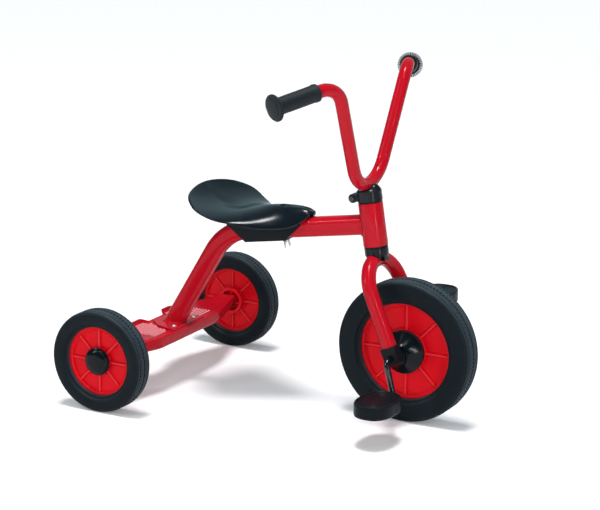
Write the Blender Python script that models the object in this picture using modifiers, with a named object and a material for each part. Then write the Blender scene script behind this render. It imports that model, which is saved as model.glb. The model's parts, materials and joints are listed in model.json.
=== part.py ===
"""A child's tricycle: steel tube frame, pressed rear step, moulded saddle and wheels.

Metres, +X forward, +Y to the rider's left, +Z up. The wheels stand on z = 0 and the
origin lies on the ground, midway between the rear of the rear tyres and the front of
the front tyre. The steering is straight ahead.
"""
import math

import bmesh
import bpy
from mathutils import Matrix, Vector

MM = 0.001
GAP = 0.3 * MM            # clearance between touching pieces
MERGE = 0.01 * MM

# Layout
WHEELBASE = 452 * MM
TRACK = 423 * MM          # between the mid-planes of the rear wheels
RAKE = math.radians(9.2)  # the head tube leans back by this angle
FORK_OFFSET = 33 * MM     # front axle ahead of the steering axis
FORK_DROP = 173 * MM      # front axle below the foot of the head tube
TUBE_FOOT_AHEAD = 6.6 * MM    # foot of the main tube ahead of the rear axle
TUBE_JOINT_BELOW = 0.7 * MM   # main tube's line below the middle of the head tube
TUBE_SLOPE = math.radians(59)
TUBE_BEND_RADIUS = 95 * MM

# Rear wheels
REAR_TYRE_RADIUS = 85 * MM
REAR_TYRE_WIDTH = 37 * MM
REAR_RIM_RADIUS = 57.5 * MM
REAR_RIM_FACE = 7.5 * MM      # rim lip from the wheel's mid-plane
REAR_BOSS_RADIUS = 20 * MM
INNER_BOSS_RADIUS = 23.5 * MM
REAR_BOSS_OUTER = 9 * MM
REAR_BOSS_INNER = 15 * MM
BUSH_RADIUS = 11 * MM
AXLE_RADIUS = 6 * MM
AXLE_WASHER_RADIUS = 10 * MM
AXLE_WASHER_THICKNESS = 1.2 * MM
AXLE_NUT_WIDTH = 16 * MM
AXLE_NUT_HEIGHT = 4.5 * MM
CAP_RADIUS = 23 * MM
CAP_HEIGHT = 10.5 * MM
CAP_WALL = 1.8 * MM

# Front wheel
FRONT_TYRE_RADIUS = 117 * MM
FRONT_TYRE_WIDTH = 43 * MM
FRONT_RIM_RADIUS = 79.5 * MM
FRONT_RIM_FACE = 8 * MM
FRONT_BOSS_RADIUS = 34 * MM
FRONT_BOSS_FACE = 10 * MM
HUB_FLANGE_RADIUS = 35.5 * MM
HUB_FLANGE_THICKNESS = 8 * MM
HUB_BOSS_RADIUS = 18 * MM
HUB_BOSS_FACE = 35 * MM
HUB_DOME_POWER = 1.35
HUB_NECK_RADIUS = 11.5 * MM

# Rims of all wheels
RIB_COUNT = 8
RIB_HALF_ANGLE = math.radians(2.4)
RIB_SIDE_ANGLE = math.radians(1.4)
RIB_HEIGHT = 3.2 * MM
WEB_HEIGHT = 3 * MM           # pocket floor from the wheel's mid-plane
LIP_WIDTH = 4.5 * MM

# Crank and pedals
CRANK_RADIUS = 56 * MM
CRANK_ANGLE = math.radians(15)   # right crank forward of straight down
CRANK_ROD_RADIUS = 5 * MM
CRANK_ARM_Y = 78 * MM
CRANK_BEND_RADIUS = 10 * MM
PEDAL_CENTRE_Y = 133 * MM
PEDAL_LENGTH = 90 * MM
PEDAL_DEPTH = 64 * MM
PEDAL_THICKNESS = 22 * MM
PEDAL_END_WALL = 6 * MM
PEDAL_RECESS = 1.5 * MM

# Fork
FORK_TUBE_RADIUS = 12 * MM
FORK_LEG_Y = 52 * MM
FORK_ARCH_RADIUS = 49 * MM
FORK_CROWN_DROP = 23 * MM     # crown centre line below the head tube
FORK_CROWN_BACK = 2 * MM      # crown centre line behind the steering axis
FORK_LEG_END = 19 * MM        # leg end above the axle, along the leg
BLOCK_DEPTH = 25 * MM
BLOCK_WIDTH = 21 * MM
BLOCK_BELOW = 12 * MM

# Head
HEAD_TUBE_LENGTH = 71 * MM
HEAD_TUBE_RADIUS = 20 * MM
HEAD_TUBE_BORE = 16 * MM
BUSH_FLANGE = 2 * MM
BUSH_DEPTH = 12 * MM
STEERER_RADIUS = 12 * MM
STEERER_RISE = 14 * MM        # steerer's end above the head tube
STEM_RADIUS = 9 * MM
STEM_DEPTH = 24 * MM          # stem's end below the top of the head tube
COLLAR_RADIUS = 19.5 * MM
COLLAR_HEIGHT = 16 * MM
COLLAR_TAB_WIDTH = 16 * MM
COLLAR_TAB_DROP = 6 * MM
CLAMP_RADIUS = 20.5 * MM
CLAMP_HEIGHT = 22 * MM        # top above the head tube
CLAMP_EAR_RADIUS = 12 * MM
CLAMP_EAR_HEIGHT = 18 * MM    # middle above the head tube
CLAMP_EAR_FORWARD = 9 * MM
LUG_RADIUS = 7.5 * MM
LUG_BACK = 27 * MM
LUG_HEIGHT = 8.5 * MM         # middle above the head tube
LUG_WIDTH = 18 * MM
LUG_SLIT = 2.4 * MM
PINCH_BOLT_RADIUS = 2.5 * MM
PINCH_HEAD_RADIUS = 4.6 * MM
PINCH_HEAD_HEIGHT = 3.2 * MM

# Handlebar and grips
BAR_TUBE_RADIUS = 10.4 * MM
BAR_HEIGHT = 30 * MM          # centre line of the bottom bend above the head tube
BAR_BACK = 1 * MM
BAR_TILT = math.radians(12)   # plane of the legs leans forward from the steering axis
BAR_LEG_ANGLE = math.radians(25)
BAR_BOTTOM_RADIUS = 57 * MM
BAR_CORNER_HEIGHT = 179 * MM  # where leg and grip lines meet, up the plane
BAR_CORNER_RADIUS = 42 * MM
GRIP_SWEEP = math.radians(25.4)
GRIP_DROOP = math.radians(7)
GRIP_START = 42 * MM
GRIP_LENGTH = 86 * MM
GRIP_RADIUS = 13.5 * MM
GRIP_COLLAR_RADIUS = 14.2 * MM
GRIP_COLLAR_LENGTH = 7 * MM
GRIP_FLANGE_RADIUS = 21.2 * MM
GRIP_FLANGE_THICKNESS = 9 * MM

# Main tube section and foot
TUBE_HEIGHT = 32.5 * MM
TUBE_WIDTH = 28 * MM
TUBE_CORNER = 11 * MM
FOOT_PAD_THICKNESS = 2.4 * MM
FOOT_PAD_FRONT_HALF = 50 * MM
FOOT_PAD_SIDE_HALF = 37 * MM
FOOT_PAD_SIDE_BACK = 4 * MM   # behind the rear axle
FOOT_PAD_REAR_HALF = 16 * MM
FOOT_BOLT_X = 26 * MM         # ahead of the rear axle
FOOT_BOLT_Y = 31 * MM
FOOT_BOLT_RADIUS = 2.5 * MM
FOOT_BOLT_HEAD = 4.5 * MM
FOOT_BOLT_HEAD_HEIGHT = 3 * MM
FOOT_BOLT_LENGTH = 9 * MM

# Rear step
STEP_SHEET = 2 * MM
AXLE_TUBE_RADIUS = 9.7 * MM    # carries the step on the rear axle
STEP_FRONT = 40 * MM          # front edge ahead of the rear axle
STEP_REAR = 40 * MM
STEP_NOTCH_REAR = 30 * MM     # rear edge in the notch at the middle
STEP_NOTCH_HALF = 22 * MM
STEP_FLANGE = 18 * MM
STEP_LIP = 7 * MM             # height of the raised ears beside the notch
STEP_LIP_MIDDLE = 2 * MM
STEP_EAR_START = 36 * MM
STEP_EAR_END = 54 * MM
STEP_FLAT = 92 * MM           # half length of the parallel part
STEP_END_HALF = 13 * MM       # half width at the hubs
STEP_EDGE_RADIUS = 3.5 * MM
STEP_END_GAP = 18.5 * MM      # from wheel mid-plane to the end of the step

# Saddle, along and square to the top tube from its corner
SEAT_BACK = 29.4 * MM         # rear edge behind the corner
SEAT_BOTTOM = 4 * MM          # lowest place of the rim above the tube's line
SEAT_LENGTH = 203.4 * MM
SEAT_HALF_WIDTH = 92 * MM
SEAT_RISE = 80.3 * MM         # rear edge above the lowest place of the rim
SEAT_REAR = (0, 0, 1)         # shares of length, half width and rise
SEAT_RIM = [(0.043, 0.674, 0.888), (0.164, 1, 0.649), (0.302, 0.935, 0.385),
            (0.43, 0.772, 0.212), (0.615, 0.598, 0.061), (0.81, 0.348, 0),
            (0.92, 0.223, 0.093), (0.977, 0.114, 0.202)]
SEAT_NOSE = (1, 0, 0.243)
SEAT_SPINE = [(0.06, 0, 0.736), (0.162, 0, 0.537), (0.295, 0, 0.438),
              (0.444, 0, 0.433), (0.615, 0, 0.446), (0.869, 0, 0.372)]
SEAT_THICKNESS = 4 * MM
SEAT_ROWS = 20
SEAT_COLUMNS = 7
SEAT_CROSS_POWER = 2.2
SEAT_STEEPEST = 0.85          # least slope factor used when the thickness is laid off

# Saddle clamp, x along the top tube ahead of its corner
CLAMP_WALL = 4 * MM
CLAMP_SLIDE_GAP = 0.3 * MM
CLAMP_FRONT_BOTTOM = 121 * MM
CLAMP_FRONT_TOP = 151 * MM
CLAMP_FRONT_RISE = 5 * MM     # top of the slanted front above the tube's line
CLAMP_REAR_BOTTOM = 44 * MM
CLAMP_REAR_TOP = 10 * MM
CLAMP_REAR_RISE = 15 * MM
CLAMP_RISE = 48 * MM
JAW_THICKNESS = 2 * MM
WING_BOLT_RADIUS = 3 * MM
WING_BOLT_INSET = 8 * MM
WING_SPAN = 24 * MM
WING_HEIGHT = 13 * MM
WING_THICKNESS = 2.4 * MM
WING_HUB_RADIUS = 5 * MM
WING_HUB_HEIGHT = 5 * MM

# Facets
TYRE_STEPS = 44
ROUND_STEPS = 24
SMALL_STEPS = 16
BORE_MARGIN = 1.02            # faceted bores are drawn this much larger

# Places worked out from the sizes above
REAR_AXLE_X = -(WHEELBASE + FRONT_TYRE_RADIUS - REAR_TYRE_RADIUS) / 2
FRONT_AXLE = Vector((REAR_AXLE_X + WHEELBASE, 0, FRONT_TYRE_RADIUS))
REAR_AXLE = Vector((REAR_AXLE_X, 0, REAR_TYRE_RADIUS))
STEP_TOP = REAR_TYRE_RADIUS + AXLE_TUBE_RADIUS + GAP + STEP_SHEET
AXIS_UP = Vector((-math.sin(RAKE), 0, math.cos(RAKE)))
AXIS_FORWARD = Vector((math.cos(RAKE), 0, math.sin(RAKE)))
HEAD_FOOT = FRONT_AXLE - AXIS_FORWARD * FORK_OFFSET + AXIS_UP * FORK_DROP
TUBE_JOINT_HEIGHT = HEAD_TUBE_LENGTH / 2 - TUBE_JOINT_BELOW
TUBE_JOINT = HEAD_FOOT + AXIS_UP * TUBE_JOINT_HEIGHT
TOP_TUBE_LENGTH = ((TUBE_JOINT.x - REAR_AXLE_X - TUBE_FOOT_AHEAD
                    - (TUBE_JOINT.z - STEP_TOP) / math.tan(TUBE_SLOPE))
                   / (math.cos(RAKE) - math.sin(RAKE) / math.tan(TUBE_SLOPE)))
FORK_LEAN = math.atan2(FORK_OFFSET + FORK_CROWN_BACK, FORK_DROP - FORK_CROWN_DROP)
HUB_END = FORK_LEG_Y - BLOCK_WIDTH / 2 - GAP
AXLE_TUBE_HALF = TRACK / 2 - REAR_BOSS_INNER - AXLE_WASHER_THICKNESS - 2 * GAP
AXLE_HALF = TRACK / 2 + REAR_BOSS_OUTER + AXLE_NUT_HEIGHT + 2 * MM

RED = (0.62, 0.008, 0.018, 1)
BLACK = (0.012, 0.014, 0.016, 1)
STEEL = (0.6, 0.61, 0.63, 1)


def clear_scene():
    for item in list(bpy.data.objects):
        bpy.data.objects.remove(item, do_unlink=True)


def new_collection(name):
    group = bpy.data.collections.new(name)
    bpy.context.scene.collection.children.link(group)
    return group


def new_material(name, colour, roughness, metallic):
    material = bpy.data.materials.new(name)
    material.use_nodes = True
    shader = material.node_tree.nodes["Principled BSDF"]
    shader.inputs["Base Color"].default_value = colour
    shader.inputs["Roughness"].default_value = roughness
    shader.inputs["Metallic"].default_value = metallic
    return material


def link(obj, material, parent=None, location=(0, 0, 0), rotation=(0, 0, 0)):
    """Put an object in the parts collection with its own material and place."""
    PARTS.objects.link(obj)
    finish = new_material(obj.name + "_finish", *material)
    obj.data.materials.clear()
    obj.data.materials.append(finish)
    obj.parent = parent
    obj.location = location
    obj.rotation_euler = rotation
    return obj


def as_cutter(obj, parent=None, location=(0, 0, 0), rotation=(0, 0, 0)):
    CUTTERS.objects.link(obj)
    obj.hide_render = True
    obj.display_type = "WIRE"
    obj.parent = parent
    obj.location = location
    obj.rotation_euler = rotation
    return obj


def new_empty(name, parent=None, location=(0, 0, 0), rotation=(0, 0, 0)):
    empty = bpy.data.objects.new(name, None)
    PARTS.objects.link(empty)
    empty.empty_display_size = 20 * MM
    empty.parent = parent
    empty.location = location
    empty.rotation_euler = rotation
    return empty


def mesh_object(name, build, smooth_angle=35):
    """Make a mesh object whose bmesh is filled by the given function."""
    shape = bmesh.new()
    build(shape)
    mesh = bpy.data.meshes.new(name)
    shape.to_mesh(mesh)
    shape.free()
    mesh.shade_smooth()
    mesh.set_sharp_from_angle(angle=math.radians(smooth_angle))
    return bpy.data.objects.new(name, mesh)


def turned(name, profile, steps=ROUND_STEPS, closed=True):
    """Revolve (radius, height) points about Z; the outer side runs top to bottom."""
    def build(shape):
        points = [shape.verts.new((radius, 0, height)) for radius, height in profile]
        for start, end in zip(points, points[1:]):
            shape.edges.new((start, end))
        if closed:
            shape.edges.new((points[-1], points[0]))

    obj = mesh_object(name, build)
    screw = obj.modifiers.new("Turn", "SCREW")
    screw.axis = "Z"
    screw.angle = 2 * math.pi
    screw.steps = steps
    screw.render_steps = steps
    screw.use_merge_vertices = True
    screw.merge_threshold = MERGE
    screw.use_smooth_shade = True
    return obj


def rod(name, radius, bottom, top, steps=SMALL_STEPS, chamfer=0.5 * MM):
    profile = [(0, top), (radius - chamfer, top), (radius, top - chamfer),
               (radius, bottom + chamfer), (radius - chamfer, bottom), (0, bottom)]
    return turned(name, profile, steps, closed=False)


def ring(name, outer, inner, bottom, top, steps=ROUND_STEPS):
    profile = [(inner, top), (outer, top), (outer, bottom), (inner, bottom)]
    return turned(name, profile, steps)


def box(name, low, high):
    size = Vector(high) - Vector(low)
    middle = (Vector(high) + Vector(low)) / 2

    def build(shape):
        bmesh.ops.create_cube(shape, size=1, matrix=Matrix.Translation(middle) @ Matrix.Diagonal(
            (size.x, size.y, size.z, 1)))

    return mesh_object(name, build)


def ball(name, radius, centre, segments=SMALL_STEPS):
    def build(shape):
        bmesh.ops.create_uvsphere(shape, u_segments=segments, v_segments=segments // 2,
                                  radius=radius, matrix=Matrix.Translation(centre))

    return mesh_object(name, build)


def to_mesh(curve, name):
    """Turn a curve object into a welded mesh object and remove the curve."""
    bpy.context.scene.collection.objects.link(curve)
    bpy.context.view_layer.update()
    graph = bpy.context.evaluated_depsgraph_get()
    mesh = bpy.data.meshes.new_from_object(curve.evaluated_get(graph))
    shape = bmesh.new()
    shape.from_mesh(mesh)
    bmesh.ops.remove_doubles(shape, verts=shape.verts, dist=MERGE)
    bmesh.ops.recalc_face_normals(shape, faces=shape.faces)
    shape.to_mesh(mesh)
    shape.free()
    mesh.shade_smooth()
    mesh.set_sharp_from_angle(angle=math.radians(40))
    obj = bpy.data.objects.new(name, mesh)
    obj.matrix_world = curve.matrix_world
    bpy.data.objects.remove(curve, do_unlink=True)
    return obj


def tube(name, points, radius, resolution=4):
    """A round tube along the points, as a mesh with closed ends."""
    data = bpy.data.curves.new(name, "CURVE")
    data.dimensions = "3D"
    data.bevel_depth = radius
    data.bevel_resolution = resolution
    data.use_fill_caps = True
    data.twist_mode = "MINIMUM"
    spline = data.splines.new("POLY")
    spline.points.add(len(points) - 1)
    for target, point in zip(spline.points, points):
        target.co = (*point, 1)
    return to_mesh(bpy.data.objects.new(name + "_path", data), name)


def plate(name, outlines, thickness):
    """A flat plate in the local XY plane; outlines after the first are holes."""
    data = bpy.data.curves.new(name, "CURVE")
    data.dimensions = "2D"
    data.fill_mode = "BOTH"
    data.extrude = thickness / 2
    for outline in outlines:
        spline = data.splines.new("POLY")
        spline.points.add(len(outline) - 1)
        for target, (x, y) in zip(spline.points, outline):
            target.co = (x, y, 0, 1)
        spline.use_cyclic_u = True
    return to_mesh(bpy.data.objects.new(name + "_outline", data), name)


def arc(centre_x, centre_y, radius, start, end, steps):
    angles = [math.radians(start + (end - start) * k / steps) for k in range(steps + 1)]
    return [(centre_x + radius * math.cos(a), centre_y + radius * math.sin(a)) for a in angles]


def circle(radius, steps=SMALL_STEPS, x=0.0, y=0.0):
    return arc(x, y, radius, 0, 360, steps)[:-1]


def rounded_path(points, radii, step_angle=math.radians(9)):
    """Join points by straight runs, with an arc of the given radius at each inner point."""
    path = [points[0]]
    for before, corner, after, radius in zip(points, points[1:], points[2:], radii):
        incoming = (before - corner).normalized()
        outgoing = (after - corner).normalized()
        half = incoming.angle(outgoing) / 2
        reach = radius / math.tan(half)
        middle = corner + (incoming + outgoing).normalized() * radius / math.sin(half)
        start = corner + incoming * reach - middle
        turn = math.pi - 2 * half
        spin = start.cross(corner + outgoing * reach - middle).normalized()
        steps = max(2, round(turn / step_angle))
        for k in range(steps + 1):
            path.append(middle + Matrix.Rotation(turn * k / steps, 3, spin) @ start)
    path.append(points[-1])
    return path


def smooth_through(points, count, square=False):
    """Points at even steps on a Catmull-Rom curve; square ends cross the plane y = 0 at 90 degrees."""
    if square:
        flip = Vector((1, -1, 1))
        ends = [points[1] * flip] + list(points) + [points[-2] * flip]
    else:
        ends = [points[0] * 2 - points[1]] + list(points) + [points[-1] * 2 - points[-2]]
    result = []
    for k in range(count):
        place = k * (len(points) - 1) / (count - 1)
        span = min(int(place), len(points) - 2)
        t = place - span
        a, b, c, d = ends[span:span + 4]
        result.append(0.5 * ((2 * b) + (c - a) * t + (2 * a - 5 * b + 4 * c - d) * t * t
                             + (3 * b - a - 3 * c + d) * t ** 3))
    return result


def combine(obj, other, operation):
    """Boolean of an object with a cutter or an added body."""
    modifier = obj.modifiers.new(operation.title(), "BOOLEAN")
    modifier.operation = operation
    modifier.solver = "EXACT"
    modifier.object = other
    return obj


def side_turn(outward):
    """Rotation that lays a turned piece's Z axis along +Y or -Y."""
    return (-math.pi / 2 * outward, 0, 0)


def tyre(name, radius, width, bead, bead_face, parent, y):
    half = width / 2
    side = [(bead, bead_face), (bead + 5 * MM, half - 2 * MM), (radius - 9 * MM, half),
            (radius - 3 * MM, half - 2 * MM), (radius, half - 7 * MM)]
    profile = side + [(r, -z) for r, z in reversed(side)]
    return link(turned(name, profile, TYRE_STEPS), (BLACK, 0.75, 0), parent, (0, y, 0),
                side_turn(1))


def ribbed_rim(name, radius, face, bore, boss, boss_face, parent, y, outward):
    """Half of a moulded rim: a dished disc with radial ribs, a hub boss and a raised lip."""
    lip = radius - LIP_WIDTH
    pocket = [(bore, GAP / 2), (bore, boss_face), (boss, boss_face), (boss + 2 * MM, WEB_HEIGHT),
              (lip - 2 * MM, WEB_HEIGHT), (lip, face), (radius, face), (radius, GAP / 2)]
    ribbed = [(r, max(z, WEB_HEIGHT + RIB_HEIGHT) if boss < r < lip else z) for r, z in pocket]
    stations = []
    for k in range(RIB_COUNT):
        middle = 2 * math.pi * k / RIB_COUNT
        for offset, profile in ((-RIB_HALF_ANGLE - RIB_SIDE_ANGLE, pocket),
                                (-RIB_HALF_ANGLE, ribbed), (RIB_HALF_ANGLE, ribbed),
                                (RIB_HALF_ANGLE + RIB_SIDE_ANGLE, pocket),
                                (math.pi / RIB_COUNT, pocket)):
            stations.append((middle + offset, profile))

    def build(shape):
        loops = []
        for angle, profile in stations:
            loops.append([shape.verts.new((r * math.cos(angle), r * math.sin(angle), z))
                          for r, z in profile])
        for loop, following in zip(loops, loops[1:] + loops[:1]):
            for k in range(len(loop)):
                n = (k + 1) % len(loop)
                shape.faces.new((loop[k], following[k], following[n], loop[n]))
        bmesh.ops.recalc_face_normals(shape, faces=shape.faces)

    return link(mesh_object(name, build), (RED, 0.35, 0), parent, (0, y, 0), side_turn(outward))


def hex_nut(name, width, height, bore, parent, y, outward):
    corner = width / math.sqrt(3)
    nut = plate(name, [arc(0, 0, corner, 0, 360, 6)[:-1], circle(bore)], height)
    return link(nut, (STEEL, 0.3, 1), parent, (0, y + outward * height / 2, 0), side_turn(1))


def hub_cap(name, parent, y, outward):
    """Domed cap, hollow inside to clear the axle nut."""
    inside = CAP_RADIUS - CAP_WALL - 2 * MM
    profile = [(0, CAP_HEIGHT), (10 * MM, CAP_HEIGHT - 0.4 * MM), (17 * MM, CAP_HEIGHT - 1.8 * MM),
               (21 * MM, CAP_HEIGHT - 4 * MM), (CAP_RADIUS, CAP_HEIGHT - 7 * MM), (CAP_RADIUS, 0),
               (inside, 0), (inside - 2 * MM, CAP_HEIGHT - CAP_WALL - 2 * MM),
               (12 * MM, CAP_HEIGHT - CAP_WALL), (0, CAP_HEIGHT - CAP_WALL)]
    cap = turned(name, profile, closed=False)
    return link(cap, (BLACK, 0.3, 0), parent, (0, y, 0), side_turn(outward))


def rear_wheel(side, sign):
    """One rear wheel about its own empty: tyre, two rim halves, bush and cap."""
    wheel = new_empty(side + "_rear_wheel", None, REAR_AXLE + Vector((0, sign * TRACK / 2, 0)))
    bore = BUSH_RADIUS + GAP
    tyre(side + "_tyre", REAR_TYRE_RADIUS, REAR_TYRE_WIDTH, REAR_RIM_RADIUS + GAP,
         REAR_RIM_FACE, wheel, 0)
    ribbed_rim(side + "_rim_outer", REAR_RIM_RADIUS, REAR_RIM_FACE, bore, REAR_BOSS_RADIUS,
               REAR_BOSS_OUTER, wheel, 0, sign)
    ribbed_rim(side + "_rim_inner", REAR_RIM_RADIUS, REAR_RIM_FACE, bore, INNER_BOSS_RADIUS,
               REAR_BOSS_INNER, wheel, 0, -sign)
    bush = ring(side + "_wheel_bush", BUSH_RADIUS, (AXLE_RADIUS + GAP) * BORE_MARGIN,
                -REAR_BOSS_INNER, REAR_BOSS_OUTER, SMALL_STEPS)
    link(bush, (BLACK, 0.5, 0), wheel, (0, 0, 0), side_turn(sign))
    hub_cap(side + "_hub_cap", wheel, sign * (REAR_BOSS_OUTER + GAP), sign)
    return wheel


def rear_axle():
    """Axle rod, the tube that carries it, washers and nuts."""
    frame = new_empty("rear_axle_line", None, REAR_AXLE)
    link(rod("rear_axle", AXLE_RADIUS, -AXLE_HALF, AXLE_HALF), (STEEL, 0.35, 1), frame,
         rotation=side_turn(1))
    bore = (AXLE_RADIUS + GAP) * BORE_MARGIN
    link(ring("axle_tube", AXLE_TUBE_RADIUS, bore, -AXLE_TUBE_HALF, AXLE_TUBE_HALF, SMALL_STEPS),
         (RED, 0.3, 0), frame, rotation=side_turn(1))
    for side, sign in (("right", -1), ("left", 1)):
        start = AXLE_TUBE_HALF + GAP
        washer = ring(side + "_axle_washer", AXLE_WASHER_RADIUS, bore, start,
                      start + AXLE_WASHER_THICKNESS, SMALL_STEPS)
        link(washer, (BLACK, 0.35, 0.5), frame, rotation=side_turn(sign))
        hex_nut(side + "_axle_nut", AXLE_NUT_WIDTH, AXLE_NUT_HEIGHT, bore, frame,
                sign * (TRACK / 2 + REAR_BOSS_OUTER + GAP), sign)


def tube_section():
    """Rounded rectangle of the main tube, as a closed profile curve."""
    data = bpy.data.curves.new("tube_section", "CURVE")
    data.dimensions = "2D"
    x = TUBE_HEIGHT / 2 - TUBE_CORNER
    y = TUBE_WIDTH / 2 - TUBE_CORNER
    outline = []
    for sign_x, sign_y, start in ((1, 1, 0), (-1, 1, 90), (-1, -1, 180), (1, -1, 270)):
        outline += arc(sign_x * x, sign_y * y, TUBE_CORNER, start, start + 90, 4)
    spline = data.splines.new("POLY")
    spline.points.add(len(outline) - 1)
    for target, (px, py) in zip(spline.points, outline):
        target.co = (py, px, 0, 1)
    spline.use_cyclic_u = True
    return as_cutter(bpy.data.objects.new("tube_section_guide", data))


def tube_path():
    """Centre line of the main tube from below its foot to the steering axis."""
    corner = TUBE_JOINT - AXIS_FORWARD * TOP_TUBE_LENGTH
    drop = (corner.z - STEP_TOP) + TUBE_HEIGHT
    foot = corner - Vector((drop / math.tan(TUBE_SLOPE), 0, drop))
    return rounded_path([foot, corner, TUBE_JOINT], [TUBE_BEND_RADIUS], math.radians(7))


def main_tube():
    data = bpy.data.curves.new("main_tube_path", "CURVE")
    data.dimensions = "3D"
    data.bevel_mode = "OBJECT"
    data.bevel_object = tube_section()
    data.use_fill_caps = True
    data.twist_mode = "Z_UP"
    points = tube_path()
    spline = data.splines.new("POLY")
    spline.points.add(len(points) - 1)
    for target, point in zip(spline.points, points):
        target.co = (*point, 1)
    body = to_mesh(bpy.data.objects.new("main_tube_path", data), "main_tube")
    floor = STEP_TOP + FOOT_PAD_THICKNESS + 2 * GAP
    reach = TUBE_HEIGHT * 3
    below = box("main_tube_foot_cut", (REAR_AXLE_X - reach, -reach, floor - reach),
                (REAR_AXLE_X + reach, reach, floor))
    cope = rod("main_tube_cope", HEAD_TUBE_RADIUS + GAP, -HEAD_TUBE_RADIUS,
               HEAD_TUBE_LENGTH + HEAD_TUBE_RADIUS, 40)
    combine(body, as_cutter(below), "DIFFERENCE")
    combine(body, as_cutter(cope, HEAD), "DIFFERENCE")
    return link(body, (RED, 0.25, 0))


def rise(value, low, high):
    """Smooth step from 0 at low to 1 at high."""
    share = min(1.0, max(0.0, (value - low) / (high - low)))
    return share * share * (3 - 2 * share)


def step_section(y):
    """Points of the step's outer surface at a distance y from the middle, front to rear."""
    end = TRACK / 2 - STEP_END_GAP
    taper = max(0.0, (y - STEP_FLAT) / (end - STEP_FLAT))
    ease = rise(y, STEP_FLAT, end)
    narrowing = 0.25 * ease + 0.75 * taper
    front = STEP_FRONT + (STEP_END_HALF - STEP_FRONT) * narrowing
    ear = rise(y, STEP_NOTCH_HALF, STEP_EAR_START)
    rear = -STEP_NOTCH_REAR - (STEP_REAR - STEP_NOTCH_REAR) * ear
    rear += (STEP_REAR - STEP_END_HALF) * narrowing
    bottom = STEP_TOP - STEP_FLANGE + 4 * MM * ease
    lip = STEP_LIP_MIDDLE + (STEP_LIP - STEP_LIP_MIDDLE) * ear
    lip *= 1 - rise(y, STEP_EAR_END, STEP_FLAT)
    r = STEP_EDGE_RADIUS * (1 - 0.4 * taper)
    points = [(front, bottom), (front + 0.6 * MM, bottom + 0.45 * STEP_FLANGE),
              (front, STEP_TOP - r), (front - 0.3 * r, STEP_TOP - 0.3 * r),
              (front - r, STEP_TOP), (0.5 * front, STEP_TOP), (0.0, STEP_TOP),
              (0.5 * rear, STEP_TOP), (rear + r, STEP_TOP),
              (rear + 0.3 * r, STEP_TOP + 0.35 * lip - 0.3 * MM),
              (rear, STEP_TOP + lip - 1.2 * MM * ease)]
    return [Vector((REAR_AXLE_X + x, y, z)) for x, z in points]


def rear_step():
    """Pressed steel step: half of its surface, mirrored, with the sheet's thickness below."""
    end = TRACK / 2 - STEP_END_GAP
    beside_pad = FOOT_PAD_FRONT_HALF + 2 * MM
    places = [0, STEP_NOTCH_HALF, (STEP_NOTCH_HALF + STEP_EAR_START) / 2, STEP_EAR_START,
              beside_pad, (beside_pad + STEP_FLAT) / 2 + 4 * MM, STEP_FLAT]
    places += [STEP_FLAT + (end - STEP_FLAT) * k / 5 for k in range(1, 6)]

    def build(shape):
        rows = [[shape.verts.new(p) for p in step_section(y)] for y in places]
        for row, following in zip(rows, rows[1:]):
            for k in range(len(row) - 1):
                shape.faces.new((row[k], row[k + 1], following[k + 1], following[k]))
        for face in shape.faces:
            face.normal_update()
        if sum(face.normal.z for face in shape.faces) < 0:
            bmesh.ops.reverse_faces(shape, faces=shape.faces)

    body = mesh_object("rear_step", build)
    mirror = body.modifiers.new("Mirror", "MIRROR")
    mirror.use_axis = (False, True, False)
    mirror.merge_threshold = MERGE
    sheet = body.modifiers.new("Sheet", "SOLIDIFY")
    sheet.thickness = STEP_SHEET
    sheet.offset = -1
    for sign in (-1, 1):
        combine(body, bolt_hole("step_hole_%d" % (sign + 2), sign), "DIFFERENCE")
    return link(body, (RED, 0.3, 0))


def bolt_hole(name, sign):
    hole = rod(name, FOOT_BOLT_RADIUS + GAP, STEP_TOP - FOOT_BOLT_LENGTH,
               STEP_TOP + FOOT_BOLT_LENGTH, 12)
    return as_cutter(hole, None, (REAR_AXLE_X + FOOT_BOLT_X, sign * FOOT_BOLT_Y, 0))


def foot_pad():
    """Six-sided pad between the tube's foot and the step."""
    front = STEP_FRONT - STEP_EDGE_RADIUS - 1 * MM
    rear = -(STEP_NOTCH_REAR - STEP_EDGE_RADIUS - 0.5 * MM)
    left = [(front, FOOT_PAD_FRONT_HALF), (-FOOT_PAD_SIDE_BACK, FOOT_PAD_SIDE_HALF),
            (rear, FOOT_PAD_REAR_HALF)]
    outline = left + [(x, -y) for x, y in reversed(left)]
    holes = [circle(FOOT_BOLT_RADIUS + GAP, 12, FOOT_BOLT_X, sign * FOOT_BOLT_Y)
             for sign in (-1, 1)]
    pad = plate("foot_pad", [outline] + holes, FOOT_PAD_THICKNESS)
    height = STEP_TOP + GAP + FOOT_PAD_THICKNESS / 2
    return link(pad, (RED, 0.3, 0), None, (REAR_AXLE_X, 0, height))


def foot_bolt(name, sign):
    """Round-headed bolt through the pad and the step."""
    head = FOOT_BOLT_HEAD_HEIGHT
    profile = [(0, head), (0.6 * FOOT_BOLT_HEAD, 0.85 * head), (0.9 * FOOT_BOLT_HEAD, 0.5 * head),
               (FOOT_BOLT_HEAD, 0), (FOOT_BOLT_RADIUS, 0), (FOOT_BOLT_RADIUS, -FOOT_BOLT_LENGTH),
               (0, -FOOT_BOLT_LENGTH)]
    bolt = turned(name, profile, 12, closed=False)
    seat = STEP_TOP + FOOT_PAD_THICKNESS + 2 * GAP
    place = (REAR_AXLE_X + FOOT_BOLT_X, sign * FOOT_BOLT_Y, seat)
    return link(bolt, (STEEL, 0.25, 1), None, place)


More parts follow.
